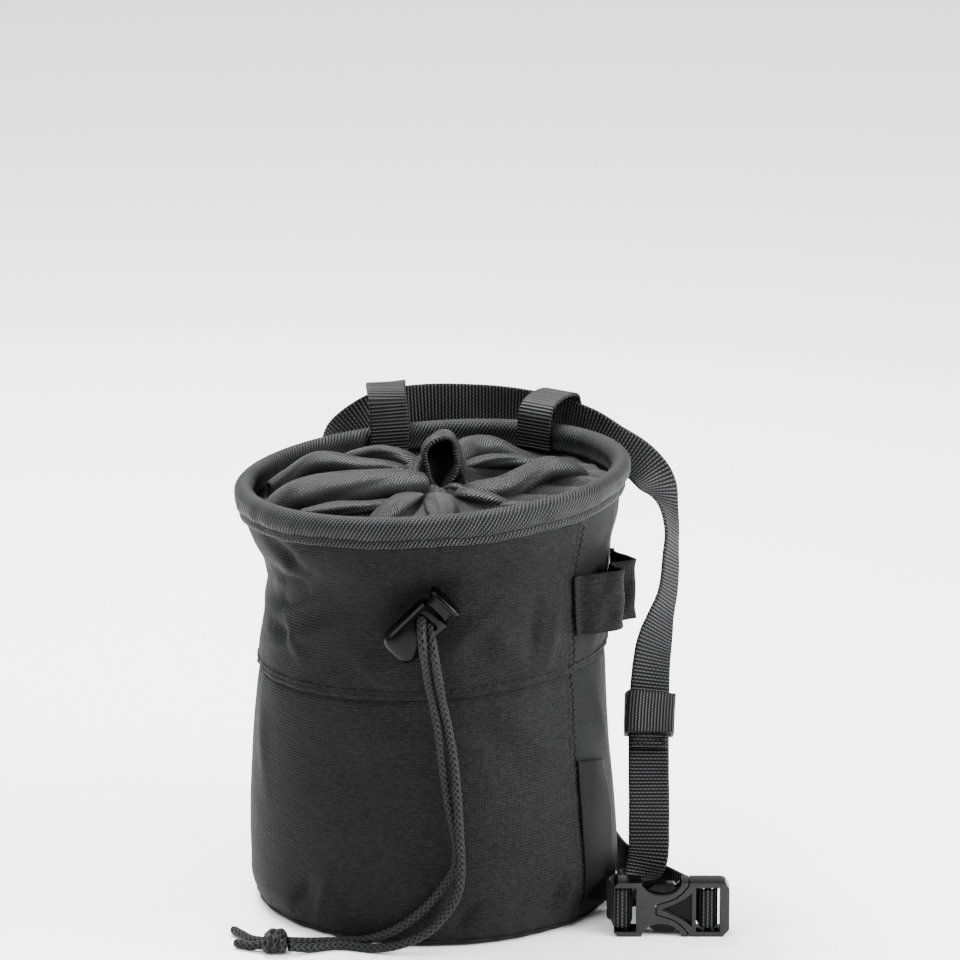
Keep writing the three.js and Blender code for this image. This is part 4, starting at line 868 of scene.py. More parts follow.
def base():
    angles = np.linspace(-180, 180, 240, endpoint=False)
    rows = []
    for angle in angles:
        edge = wall_point(angle, BASE_EDGE)
        radius = np.linalg.norm(edge[:2])
        pucker = seam_puckers(angle, BASE_EDGE) * 2
        profile = []
        for part in np.linspace(1, 0, 12):
            run_in = 4.5 * (1 - math.sin(part * math.pi / 2))
            height = (BASE_EDGE - 0.3) * (1 - math.cos(part * math.pi / 2))
            profile.append((radius - run_in + pucker * part, height * edge[2] / BASE_EDGE))
        profile += [(radius * share - 4, 0) for share in (0.85, 0.6, 0.35, 0.12)]
        profile += [(radius * share - 4, BASE_THICK) for share in (0.12, 0.35, 0.6, 0.85)]
        profile += [(radius - 3.4, 2.6)]
        x, y = math.cos(math.radians(angle)), math.sin(math.radians(angle))
        rows.append([(r * x, r * y, z) for r, z in profile])
    around = (np.append(angles, 180) + 180) * math.radians(1) * RADIUS
    weave = woven(around, np.arange(len(rows[0]) + 1.0) * 2)
    ring = grid_mesh("ring", rows, weave, closed_rows=True, closed_columns=True)
    x, y = PLUG * np.cos(np.radians(angles)), PLUG * np.sin(np.radians(angles))
    disc = [np.column_stack([x, y, np.full(len(angles), height)]) for height in (0.0, BASE_THICK)]
    plug = grid_mesh("plug", disc, None, closed_columns=True, caps=True)
    return joined("base_disc", [ring, plug])


dress(base(), "bag", NYLON, "body_nylon", "base_panel")

# %% [markdown]
# ## The rim
# The binding wraps a bead that keeps the rim stiff, and hangs down the wall outside and inside. A row of
# stitches near its outer edge presses a groove into it.


# %% Rim binding
BEAD = 3.3
TAPE_THICK = 1.3
INNER_FLANGE = 9.5


def binding_outline(angle):
    """The tape's cross-section at a plan angle, as (out from the wall, height)."""
    sway = math.radians(angle)
    edge = 0.35 * math.sin(3 * sway + 1) + 0.25 * math.sin(11 * sway) + 0.12 * math.sin(37 * sway)
    puff = 0.18 * math.sin(29 * sway + 2 * math.sin(5 * sway)) + 0.12 * math.sin(53 * sway)
    outer, inner = GAP + TAPE_THICK, -WALL - GAP - TAPE_THICK
    low, high = HEIGHT - OUTER_FLANGE + edge, HEIGHT - BEAD
    points = [(outer - 0.5, low), (outer - 0.15, low + 0.15), (outer + 0.1, low + 0.8), (outer, low + 1.8)]
    points += [(outer - 0.6, low + 2.8), (outer + 0.35 + puff, low + 3.8), (outer + 0.95 + puff, low + 5.0)]
    points += [(outer + 1.25 + puff, low + 6.3)]
    for turn in np.linspace(-5, 194, 17):
        roll = math.radians(turn)
        wide = BEAD + 0.3 * puff + 0.45 * max(0.0, math.cos(roll))
        points.append((-WALL / 2 + wide * math.cos(roll), high + BEAD * math.sin(roll)))
    bottom = HEIGHT - INNER_FLANGE + 0.6 * edge
    points += [(inner - 0.1 - puff, bottom + 4), (inner + 0.2, bottom + 2.2), (inner - 0.1, bottom + 1.2)]
    points += [(inner + 0.1, bottom), (inner + TAPE_THICK, bottom), (inner + TAPE_THICK, HEIGHT - 4.2)]
    points += [(GAP, HEIGHT - 4.2), (GAP, low + 0.2)]
    return np.array(points)


def rim_binding():
    angles = np.linspace(0, 360, 480, endpoint=False)
    rows, across = [], []
    for angle in angles:
        outline = binding_outline(angle)
        rows.append(wall_point(angle, outline[:, 1], outline[:, 0]))
        across.append(running(np.vstack([outline, outline[:1]])))
    around = np.append(angles, 360.0)[:, None] * math.radians(1) * RIM_RADIUS
    weave = np.stack(np.broadcast_arrays(around, np.vstack([across, across[:1]])), -1)
    return grid_mesh("binding", rows, weave, closed_rows=True, closed_columns=True)


dress(rim_binding(), "bag", TAPE, "binding_tape", "rim_binding")
GROOVE = 4  # which point of the outline is the bottom of its groove
groove = [(angle, *binding_outline(angle)[GROOVE]) for angle in np.linspace(0, 360, 361)]
in_groove = np.array([wall_point(angle, up, out + 0.1) for angle, out, up in groove])
stitches("binding_stitches", in_groove, "binding_tape", 3.4, 0.5, 0.35)

# %% [markdown]
# ## The closure
# A sleeve of thin twill is sewn in below the binding and drawn shut by the cord, so a wide cloth is
# crowded into a small circle. What it can't do flat it does in tall, rounded folds, each narrower at its
# foot than at its crest. A cloth simulation could crowd it as well, but it would choose the folds' places
# by itself, so each one is drawn by its crest instead. First comes the ground between them: a shallow
# funnel with pleats.

# %% The folds' crests
MOUTH = np.array([3.0, -3.0])
MOUTH_RADIUS = 4.6
CLOSURE_EDGE = HEIGHT - INNER_FLANGE - GAP - 1
# points of the crest, half width and height of the fold, share of its size at each end, lean, thickness
CRESTS = [
    ([(-61, -26, 154), (-53, -22, 160.5), (-43, -20, 163.4), (-24, -16, 164.8), (-9, -11, 163.2),
      (-3, -9, 161.5)],
     8.0, 13, 0.45, 0.8, -0.25, 0.8),
    ([(-47, -38, 156), (-35, -36, 158), (-24, -32, 157.5), (-12, -22, 156)],
     5.0, 6, 0.3, 0.5, 0.3, 0.7),
    ([(-60, 3, 155), (-53, 6, 159.4), (-43, 8, 165), (-27, 6, 163.6), (-11, 4, 161), (-3, 1, 156)],
     6.5, 12, 0.4, 0.4, 0.15, 0.8),
    ([(-36, 26, 158), (-31, 22, 161.6), (-21, 18, 165), (-11.5, 12, 164.8), (-6, 8, 162.4)],
     5.0, 10, 0.5, 0.85, 0.35, 0.8),
    ([(3.6, -1, 173.6), (3.3, 5, 174.8), (3, 13, 171.5), (2, 23, 166), (1, 36, 160)],
     8.8, 23.5, 0.97, 0.3, 0.05, 1.7),
    ([(3.4, 5, 169.8), (3.1, 11, 171), (2.8, 18, 167)],
     6.4, 17, 0.8, 0.6, 0.0, 0.7),
    ([(7, 13, 163), (12, 23, 166.2), (22, 28, 165.6), (32, 30, 160.5), (43, 34, 155)],
     6.8, 11, 0.5, 0.3, -0.3, 0.8),
    ([(9, 9, 160), (20, 14, 162.5), (33, 18, 161), (48, 22, 156)],
     5.0, 7, 0.4, 0.3, 0.3, 0.7),
    ([(5, -4, 153), (13.4, -6, 157), (25, -4, 159), (41, 3, 164.4), (50, 6, 162), (58, 8, 156.5)],
     7.4, 10.5, 0.3, 0.45, -0.35, 0.8),
    ([(4, -8, 156.5), (8, -11, 158.5), (14, -14, 156.5), (21, -17, 153)],
     2.9, 5.5, 0.75, 0.3, 0.2, 0.6),
    ([(9, -14, 157), (14, -20, 159), (22, -22, 157.5), (31, -21, 153)],
     3.6, 6, 0.7, 0.3, -0.2, 0.6),
    ([(2, -10, 154), (2, -20, 157.5), (3, -31, 158), (3, -46, 153.5)],
     7.0, 7.5, 0.5, 0.4, 0.1, 0.7),
    ([(-2, -10, 154), (-8, -22, 158), (-14, -34, 158), (-21, -48, 155)],
     6.4, 7.5, 0.4, 0.4, -0.25, 0.7),
    ([(24, -24, 154.5), (34, -30, 156.5), (42, -38, 154)],
     4.4, 5, 0.4, 0.4, 0.3, 0.7),
    ([(10, 30, 158), (16, 42, 158), (22, 55, 154)],
     5.0, 6, 0.4, 0.4, 0.2, 0.7),
    ([(-8, 24, 157), (-14, 38, 158), (-22, 54, 155)],
     5.4, 6, 0.4, 0.4, -0.2, 0.7),
]


# %% The ground between the folds
REACH = 58.0  # from the mouth's edge to the rim
CLOTH_RUN, CLOTH_MIDDLE = 62.0, 45.0  # the cloth's run from the rim to the mouth, and its middle radius


def closure_ground(x, y):
    """Height of the cloth between the folds."""
    away = np.hypot(x - MOUTH[0], y - MOUTH[1])
    part = np.clip((away - MOUTH_RADIUS) / REACH, 0, 1)
    turn = np.arctan2(y - MOUTH[1], x - MOUTH[0])
    height = CLOSURE_EDGE - 3.6 * (1 - part) ** 2 + 2.6 * np.sin(math.pi * part) ** 0.8
    near_mouth = np.exp(-(((part - 0.16) / 0.2) ** 2))
    height += 2.4 * (np.abs(np.sin(8.5 * turn + 2 * np.sin(2 * turn) + part)) - 0.6) * near_mouth
    pleats = np.abs(np.sin(11 * turn + 2.5 * np.sin(3 * turn) + 0.6 * part)) ** 0.7
    height += 2.0 * (pleats - 0.6) * np.sin(math.pi * part) ** 0.6 - 1.6 * np.sin(math.pi * part)
    height += 0.55 * np.sin(31 * turn + 5 * np.sin(3 * turn)) * np.exp(-(((part - 0.95) / 0.12) ** 2))
    height += 0.5 * np.sin(x / 4.3 + 2 * np.sin(y / 9)) * np.sin(y / 5.1 + x / 13) * np.sin(math.pi * part)
    for crest, wide, *_ in CRESTS:
        line_points = catmull(crest, evenly(np.array(crest, float), 2.5)[0])
        best = np.full(x.shape, 1e9)
        top = np.zeros(x.shape)
        for place in line_points:
            distance = np.hypot(x - place[0], y - place[1])
            top = np.where(distance < best, place[2], top)
            best = np.minimum(best, distance)
        swell = 0.5 * np.maximum(top - height, 0) * np.exp(-((best / (1.35 * wide)) ** 2))
        height = height + swell * np.clip(part * 12, 0, 1) * np.clip((1 - part) * 8, 0, 1)
    return height


def closure_sheet():
    angles = np.linspace(0, 360, 360, endpoint=False)
    parts = np.linspace(1, 0, 62)
    edge = wall_point(angles, CLOSURE_EDGE, -WALL - GAP)
    turn = np.radians(angles)[:, None]
    mouth = MOUTH + MOUTH_RADIUS * np.concatenate([np.cos(turn), np.sin(turn)], 1)
    plan = mouth[:, None] * (1 - parts)[None, :, None] + edge[:, None, :2] * parts[None, :, None]
    height = closure_ground(plan[..., 0], plan[..., 1])
    height += (edge[:, 2] - CLOSURE_EDGE)[:, None] * parts[None] ** 2
    top = np.concatenate([plan, height[..., None]], -1)
    under = top[:, ::-1] - (0, 0, 1)
    away = np.concatenate([parts, parts[::-1], parts[:1]]) * CLOTH_RUN
    weave = woven(np.append(angles, 360.0) * math.radians(1) * CLOTH_MIDDLE, away)
    both = np.concatenate([top, under], 1)
    return grid_mesh("closure ground", both, weave, closed_rows=True, closed_columns=True)


# %% [markdown]
# Each fold is a drop-shaped cross-section swept along the crest. It leans a little, swells and narrows on
# its way, and ends open, as a hollow roll, where it is crowded against the mouth. The Solidify modifier
# gives the cloth its thickness, and the whole closure is joined into one object.


# %% The folds
def fold(number, crest, wide, tall, first, last, lean, thick):
    at, length = evenly(np.array(crest, float), 1.15)
    places = catmull(crest, at)
    along = np.linspace(0, length, len(places))
    share = along / length
    forward = tangents(places * (1, 1, 0.3))
    side = unit(np.cross(forward, (0, 0, 1.0)))
    growing = first + (1 - first) * np.sin(np.clip(share / 0.4, 0, 1) * math.pi / 2)
    fading = last + (1 - last) * np.sin(np.clip((1 - share) / 0.4, 0, 1) * math.pi / 2)
    size = np.minimum(growing, fading)
    turn = np.linspace(-0.985 * math.pi, 0.985 * math.pi, 44)
    x = wide * np.sin(turn) * np.cos(turn / 2) ** 0.9
    drop = tall * (np.cos(turn) - 1) / 2
    down, loose = along[:, None], np.cos(turn / 2)[None, :]
    ripple = 0.06 * wide * np.sin(down / 7.5 + 1.6 * turn + number) * loose
    ripple += 0.02 * wide * np.sin(down / 2.9 - 2.6 * turn + 2 * number)
    pleat = np.abs(np.sin(down / 11 + 2.3 * turn + 1.7 * number))
    ripple += 0.17 * wide * (pleat - 0.6) * loose
    sideways = size[:, None] * (x + ripple * np.sign(x) + lean * drop)
    points = places[:, None] + side[:, None] * sideways[..., None]
    points[..., 2] += drop[None, :] * (0.35 + 0.65 * size[:, None])
    girth = running(np.column_stack([x, drop]))
    made = grid_mesh(f"fold {number}", points, woven(along, girth))
    solid = made.modifiers.new("cloth", "SOLIDIFY")
    solid.thickness = thick * MM
    solid.offset = -1 if thick > 1.5 else 0
    applied(made, solid)
    return made


folds = [fold(number, *row) for number, row in enumerate(CRESTS)]
closure = joined("gathered_closure", [closure_sheet(), *folds])
dress(closure, "bag", TWILL, "closure_nylon", "closure")

# %% [markdown]
# ## Straps
# A strap is a strip with rounded edges along a route. Its ribs are real: the section swells and narrows
# every 1.3 mm, which is what makes the edge of webbing look like a row of small knuckles.


# %% Strips
def uniform(points, at):
    """Catmull-Rom with even spacing, for directions."""
    points = np.asarray(points, float)
    padded = np.vstack([2 * points[0] - points[1], points, 2 * points[-1] - points[-2]])
    at = np.clip(np.asarray(at, float), 0, len(points) - 1)
    k = np.minimum(at.astype(int), len(points) - 2)
    t = (at - k)[:, None]
    p0, p1, p2, p3 = (padded[k + n] for n in range(4))
    return cubic(p1, p2, (p2 - p0) / 2, (p3 - p1) / 2, t)


def rounded(width, thick):
    """Cross-section of a strap: (across, out) round a rectangle with round edges."""
    arc = np.linspace(-math.pi / 2, math.pi / 2, 5)
    half = thick / 2
    bulge = np.stack([width / 2 - half + half * np.cos(arc), half * np.sin(arc)], -1)
    flat = np.linspace(width / 2 - thick, -width / 2 + thick, 5)
    upper = np.stack([flat, np.full(5, half)], -1)
    return np.concatenate([bulge, upper, -bulge, -upper])


class Route:
    """Where a strip runs: rows of (place, direction of its width), in millimetres."""

    def __init__(self, places, sides):
        self.places = np.array(places, float)
        self.sides = np.array(sides, float)
        fine = np.linspace(0, len(places) - 1, 60 * len(places))
        path = catmull(self.places, fine)
        self.run = running(path)
        self.fine = fine
        self.length = self.run[-1]

    def frames(self, distances):
        at = np.interp(distances, self.run, self.fine)
        place = catmull(self.places, at)
        along = unit(catmull(self.places, at + 1e-3) - catmull(self.places, at - 1e-3))
        side = uniform(self.sides, at)
        side = unit(side - along * np.sum(side * along, 1, keepdims=True))
        return place, side, np.cross(along, side)


def strip(name, route, width, thick, rib=RIB, depth=0.13, start=0.0, stop=None, out=0.0):
    """Webbing from start to stop along a route, with a rib `depth` deep every `rib` millimetres."""
    stop = route.length if stop is None else stop
    distances = np.linspace(start, stop, max(8, int((stop - start) / (rib / 4))))
    place, side, face = route.frames(distances)
    section = rounded(width, thick)
    valley = (0.5 + 0.5 * np.cos(distances / rib * math.tau))[:, None]
    swell = 1 - 2 * depth / thick * valley
    widen = 1 - 1.4 * depth / width * valley
    across = section[None, :, 0] * widen
    thickness = section[None, :, 1] * swell + out
    points = place[:, None] + side[:, None] * across[..., None] + face[:, None] * thickness[..., None]
    girth = np.concatenate([section[:, 0], section[:1, 0]]) + width / 2
    return grid_mesh(name, points, woven(distances, girth), closed_columns=True, caps=True)


# %% [markdown]
# The belt starts round the buckle's bar, climbs beside the bag, runs behind the rim through both loops,
# falls behind the bag and comes back along the floor to the buckle's other end.

# %% The belt's route
WEBBING, WEBBING_THICK = 15.0, 1.5
BELT_OUT = 10.8
BUCKLE_X, BUCKLE_Y, BUCKLE_THICK, BUCKLE_WIDTH = 65.2, -53.0, 9.0, 20.5
BUCKLE_MIDDLE = BUCKLE_Y + BUCKLE_THICK / 2
BAR_X, LADDER_X = BUCKLE_X + 3.1, BUCKLE_X + 34.3
# plan angle, out as a share of BELT_OUT, up as a share of the height, stand as a share of WEBBING, to, lay
BELT_ROUTE = [
    (-20.3, 1.60, 0.216, 0, 0, 0), (-12.2, 1.27, 0.327, 0, 0, 0), (-2.9, 1.12, 0.457, 0, 10, 0),
    (3.6, 1.24, 0.556, 0, 28, 0), (8.2, 1.54, 0.614, 0, 48, 0), (11.8, 1.91, 0.679, 0, 62, 0),
    (15.0, 2.11, 0.750, 0, 68, 3), (18.0, 2.26, 0.807, 0, 76, 10), (21.8, 2.30, 0.854, 0, 86, 25),
    (26.5, 2.21, 0.899, 0, 96, 45), (31.7, 1.96, 0.937, 0, 105, 60), (37.5, 1.51, 0.969, 0, 115, 74),
    (43.9, 1.23, 0.998, 0, 122, 84), (54.2, 1.05, 1.015, 0, 0, 90), (67.0, 1.03, 1.023, 0, 0, 90),
    (80.6, 1.05, 1.024, 0, 0, 90), (94.3, 1.03, 1.022, 0, 0, 90), (105.5, 1.02, 1.010, 0, 0, 90),
    (114.0, 1.20, 0.962, 0, 95, 80), (118.2, 1.60, 0.895, 0, 92, 56), (119.6, 2.35, 0.785, 0, 90, 24),
    (119.4, 3.48, 0.630, 0, 88, 6), (117.5, 3.92, 0.463, 0, 84, 4), (113.8, 4.15, 0.296, 0, 78, 10),
    (107.9, 4.07, 0.160, 0, 70, 28), (99.8, 3.69, 0.077, 0, 60, 56), (89.4, 3.15, 0, 0.55, 40, 80),
    (77.0, 2.54, 0, 0.52, 0, 90), (62.2, 1.84, 0, 0.52, 0, 90), (45.3, 1.19, 0, 0.52, 0, 90),
    (26.0, 0.64, 0, 0.52, 0, 90), (8.0, 0.51, 0, 0.52, 0, 90), (-6.6, 1.16, 0, 0.57, 0, 90),
]
# along and behind from the buckle's end, up, all as shares of WEBBING, then to and lay
FROM_BAR = [
    (-0.01, 0.41, 0.667, 0, 90), (-0.09, 0.8, 0.613, 0, 90), (0.05, 1.23, 0.587, 0, 88),
    (0.32, 1.37, 0.64, 10, 74), (0.63, 1.27, 0.893, 8, 42), (0.85, 1.15, 1.467, 3, 12),
]
TO_LADDER = [(-0.77, 1.43, 0.64, 0, 90)]
BAR_WRAP = [
    (1.35, -2.3), (1.15, -0.8), (0.95, 0.55), (0.35, 1.02), (-0.4, 1.0), (-0.98, 0.45), (-1.12, -0.6),
]
LADDER_WRAP = [
    (-1.35, -2.2), (-1.05, -0.7), (-0.92, 0.5), (-0.5, 1.0), (0.5, 1.0), (0.92, 0.5), (1.05, -0.7),
    (1.1, -2.3),
]


def width_way(to, lay):
    flat = math.cos(math.radians(lay))
    return flat * math.cos(math.radians(to)), flat * math.sin(math.radians(to)), math.sin(math.radians(lay))


def belt_route():
    slack = GAP + 0.4 + WEBBING_THICK / 2
    rows = []

    def wrap(bar_x, half_wide, half_deep, turns):
        for across, deep in turns:
            x = bar_x + across * (half_wide + slack)
            y = BUCKLE_MIDDLE - deep * (half_deep + slack)
            rows.append(((x, y, BUCKLE_WIDTH / 2), (0, 0, 1)))

    def beside(end_x, table):
        for along, behind, up, to, lay in table:
            place = (end_x + along * WEBBING, BUCKLE_MIDDLE + behind * WEBBING, up * WEBBING)
            rows.append((place, width_way(to, lay)))

    wrap(BAR_X, 1, 1, BAR_WRAP)
    beside(BUCKLE_X, FROM_BAR)
    for turn, out, up, stand, to, lay in BELT_ROUTE:
        radius = RADIUS + (RIM_RADIUS - RADIUS) * up + out * BELT_OUT
        x, y = radius * math.cos(math.radians(turn)), radius * math.sin(math.radians(turn))
        rows.append(((x, y, up * HEIGHT + stand * WEBBING), width_way(to, lay)))
    beside(LADDER_X, TO_LADDER)
    wrap(LADDER_X, 1.3, 1.1, LADDER_WRAP)
    return Route(*zip(*rows))


BELT = belt_route()
print("belt:", round(BELT.length), "mm")
dress(strip("belt_webbing", BELT, WEBBING, WEBBING_THICK), "bag", BELT_WEB, "webbing", "belt")

# %% [markdown]
# The belt's loose end is folded over and sewn down, so that it can't slip out. A band of webbing holds it
# to the belt, and the folded end shows below the band, with its rows of stitches.

# %% Tail and keeper
KEEPER_FROM, KEEPER_HEIGHT, KEEPER_THICK = 100.6, 15.5, 1.2
TAIL_THICK = 2.2
tail_out = -(WEBBING_THICK / 2 + 2.4 * GAP + TAIL_THICK / 2)
TAIL_SHOWS = 5.5  # below the keeper
tail_from, tail_to = KEEPER_FROM - TAIL_SHOWS, KEEPER_FROM + KEEPER_HEIGHT
tail_strip = strip("tail", BELT, WEBBING - 0.4, TAIL_THICK, start=tail_from, stop=tail_to, out=tail_out)
dress(tail_strip, "bag", BELT_WEB, "webbing", "belt_tail")


def across_strap(name, route, distances, half, out):
    """A row of stitches from edge to edge of a strap, back and forth at each distance along it."""
    place, side, face = route.frames(np.array(distances, float))
    turns = [(k, sign * (-1) ** k * half) for k in range(len(distances)) for sign in (-1, 1)]
    path, humps = stepped(np.array([place[k] + side[k] * x + face[k] * out for k, x in turns]), 2.2)
    thread(name, path + face.mean(0) * (0.35 * humps * np.sign(out))[:, None], 0.5, "webbing")


tail_rows = KEEPER_FROM - np.array([4.4, 3.2, 2.0, 0.8])
across_strap("tail_stitches", BELT, tail_rows, 5.6, tail_out - TAIL_THICK / 2 - 0.1)


def squared(value, power):
    """Turns a circle's sine or cosine into that of a round-cornered square."""
    return np.sign(value) * np.abs(value) ** power


def keeper():
    half = WEBBING / 2 + GAP
    front = -WEBBING_THICK / 2 - 4 * GAP - TAIL_THICK
    behind = WEBBING_THICK / 2 + 2 * GAP
    levels = np.linspace(0, KEEPER_HEIGHT, 16)
    place, side, face = BELT.frames(KEEPER_FROM + levels)
    middle = (front + behind) / 2
    deep = (behind - front) / 2
    turns = np.linspace(0, math.tau, 220, endpoint=False)
    across, out = squared(np.cos(turns), 0.22), squared(np.sin(turns), 0.22)
    run = running(np.column_stack([across * half, out * deep]))
    rib = 0.1 * np.cos(run * math.tau)
    climb = range(len(levels))
    rows = []
    for k in range(len(turns)):
        ring = []
        outside = [(level, KEEPER_THICK + rib[k]) for level in climb]
        inside = [(level, 0.0) for level in reversed(climb)]
        for level, extra in outside + inside:
            x = across[k] * (half + extra)
            y = middle + out[k] * (deep + extra)
            ring.append(place[level] + side[level] * x + face[level] * y)
        rows.append(ring)
    up = np.concatenate([levels, levels[::-1], levels[:1]])
    weave = woven(np.append(run, run[-1] + 1) * RIB, up)
    return grid_mesh("keeper_band", rows, weave, closed_rows=True, closed_columns=True)


dress(keeper(), "bag", LOOP_WEB, "webbing", "belt_keeper")

# %% [markdown]
# Two strips of finer webbing go over the rim from the inside to the outside, with the belt inside their
# arch. Each is sewn down with two rows of stitches.

# %% Loops
LOOP_WIDTH, LOOP_THICK = 15.0, 1.2
LOOP_CLEAR = GAP + LOOP_THICK / 2
LOOP_SAG = LOOP_WIDTH**2 / (8 * (RIM_RADIUS - WALL))


def rim_height(place):
    return HEIGHT + place[0] * RIM_ROLL


def loop(name, angle, slide, node):
    """slide is how far it moves along the rim for every millimetre that it stands out of it."""
    inside = -WALL - GAP - TAPE_THICK - LOOP_CLEAR - LOOP_SAG
    bead_side = WALL / 2 + BEAD + LOOP_CLEAR + LOOP_SAG
    outside = BELT_OUT + WEBBING_THICK / 2 + 2 + LOOP_THICK / 2
    top = 12.0
    rows = [  # out, above the rim's own top, or None and the height above the rim's height on the axis
        (inside, -INNER_FLANGE + GAP, None), (inside - 0.2, -BEAD * 2.2, None), (-bead_side, -BEAD, None),
        (-bead_side + 0.4, BEAD, None), (-bead_side / 2, None, top - 2.4),
        ((outside - bead_side) / 2, None, top), (outside - 1.6, None, top - 0.6),
        (outside, None, top - 3.4), (outside + 0.5, 0, None),
        (outside + 0.2, -WEBBING / 2, None), (outside - 2.8, -OUTER_FLANGE - 0.6, None),
        (GAP + TAPE_THICK + LOOP_CLEAR + 1.8, -OUTER_FLANGE - 3, None),
        (LOOP_CLEAR + 0.3, -OUTER_FLANGE - 6.5, None), (LOOP_CLEAR, -OUTER_FLANGE - 10, None),
    ]
    side = np.array([-math.sin(math.radians(angle)), math.cos(math.radians(angle)), 0])
    places = []
    for out, up, above in rows:
        place = wall_point(angle, min(HEIGHT, HEIGHT + (up or 0)), out)
        place[2] = HEIGHT + above if above is not None else rim_height(place) + up
        places.append(place - side * slide * max(0.0, out))
    route = Route(places, [side] * len(places))
    dress(strip(name, route, LOOP_WIDTH, LOOP_THICK, 1.1, 0.08), "bag", LOOP_WEB, "webbing", node)
    across_strap(name + "_stitches", route, [route.length - 6.5, route.length - 3], 5.8, LOOP_THICK / 2)


loop("rim_loop_left", 105.5, 0.277, "loop_left")
loop("rim_loop_right", 54, 0, "loop_right")

# %% [markdown]
# ## Hardware
# The buckle's two halves keep the CAD model's shape and get what a moulding has and a CAD block hasn't:
# small round edges, polished beside the grained faces.


# %% Buckle
GRAIN_DEEP = 2.4  # below the front face, where the mould is polished again


def moulding(name, node, width):
    """A CAD half of the buckle with round, polished edges of this width."""
    made = bpy.data.objects.new(name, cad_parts[node].data.copy())
    bpy.context.collection.objects.link(made)
    made.matrix_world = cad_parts[node].matrix_world.copy()
    made.data.materials.clear()
    work = bmesh.new()
    work.from_mesh(made.data)
    bmesh.ops.remove_doubles(work, verts=work.verts, dist=1e-6)
    bmesh.ops.dissolve_limit(work, angle_limit=math.radians(1), verts=work.verts, edges=work.edges)
    work.to_mesh(made.data)
    work.free()
    made.data.materials.append(BUCKLE_GRAIN)
    made.data.materials.append(BUCKLE_EDGE)
    round_edges(made, width, 3, 28, 1)
    for face in made.data.polygons:
        sunk = face.center.y > (BUCKLE_Y + GRAIN_DEEP) * MM
        if sunk or face.center.z > (BUCKLE_WIDTH - 1.2) * MM:
            face.material_index = 1
    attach(made, "bag")
    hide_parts(node)
    print(made.name, "-", len(made.data.polygons), "faces")


moulding("buckle_socket", "buckle_female", 0.6)
moulding("buckle_plug", "buckle_male", 0.45)

# %% [markdown]
# The cord lock is a smooth oval barrel with a plunger that a spring pushes out. Each has a slot for the
# cord, and pressing the plunger in lines the two slots up. Boolean modifiers cut the slots and the bore,
# and bevels round the edges that the cuts leave sharp.

# %% Cord lock
LOCK_LENGTH, LOCK_WIDTH, LOCK_DEPTH, LOCK_WALL = 21.0, 13.2, 10.0, 1.1
PLUNGER_OUT, PLUNGER_HEAD, PLUNGER_TRAVEL = 6.4, 2.0, 3.6
HOLE_WIDTH, HOLE_HEIGHT, HOLE_AT = 8.4, 5.0, LOCK_LENGTH - 4.8
LOCK_MIDDLE = np.array([-6.4, sum(corner.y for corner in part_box("cord_lock_barrel")) / 2 / MM, 119.0])
LEAN = math.radians(90 - 45.5)


def in_lock(points):
    """From the lock's own frame, z along the barrel from its closed end, to the bag's."""
    x, y, z = np.moveaxis(np.asarray(points, float), -1, 0)
    z = z - LOCK_LENGTH / 2
    turned = [x * math.cos(LEAN) + z * math.sin(LEAN), y, -x * math.sin(LEAN) + z * math.cos(LEAN)]
    return np.stack(turned, -1) + LOCK_MIDDLE


def column(name, rings):
    made = grid_mesh(name, in_lock(rings), None, closed_columns=True, caps=True)
    face_outwards(made)
    return made


def oval(name, width, depth, rows):
    """A column with an oval, flat-sided outline; rows are (height, share of the full size)."""
    turn = np.linspace(0, math.tau, 64, endpoint=False)
    across, out = squared(np.cos(turn), 0.62), squared(np.sin(turn), 0.62)
    outline = np.stack([across * width / 2, out * depth / 2], -1)
    rings = [np.column_stack([outline * share, np.full(len(turn), height)]) for height, share in rows]
    return column(name, rings)


def slot_cutter(low, high):
    turn = np.linspace(0, math.tau, 40, endpoint=False)
    x = squared(np.cos(turn), 0.35) * HOLE_WIDTH / 2
    z = (low + high) / 2 + squared(np.sin(turn), 0.35) * (high - low) / 2
    through = LOCK_DEPTH + 4
    rings = [np.column_stack([x, np.full(len(turn), y), z]) for y in (-through / 2, through / 2)]
    return column("slot cutter", rings)


def cut(made, *cutters, join=()):
    for other, operation in [*((c, "UNION") for c in join), *((c, "DIFFERENCE") for c in cutters)]:
        boolean = made.modifiers.new("cut", "BOOLEAN")
        boolean.operation = operation
        boolean.object = other
        applied(made, boolean)
        bpy.data.objects.remove(other)


def soften(made, width):
    round_edges(made, width, 2, 30)
    made.data.set_sharp_from_angle(angle=math.radians(38))


HOLE_LOW, HOLE_HIGH = HOLE_AT - HOLE_HEIGHT / 2, HOLE_AT + HOLE_HEIGHT / 2
stem_end = HOLE_LOW - 1.4
bore_floor = stem_end - PLUNGER_TRAVEL - GAP
# height and share of the full size: the closed end is rounded, and the barrel is widest below its middle
SHELL = [
    (0, 0.66), (0.35, 0.79), (0.9, 0.88), (1.6, 0.96), (2.4, 1.02), (3.6, 1.065), (5, 1.08), (9, 1.062),
    (14, 1.035), (LOCK_LENGTH, 1),
]
shell = oval("cord_lock_shell", LOCK_WIDTH, LOCK_DEPTH, SHELL)
bore_rows = [(bore_floor, 1), (LOCK_LENGTH + 1, 1)]
bore = oval("bore", LOCK_WIDTH - 2 * LOCK_WALL, LOCK_DEPTH - 2 * LOCK_WALL, bore_rows)
cut(shell, bore, slot_cutter(HOLE_LOW, HOLE_HIGH))
soften(shell, 0.22)
dress(shell, "bag", LOCK_GLOSS, "lock_plastic", "cord_lock_barrel")

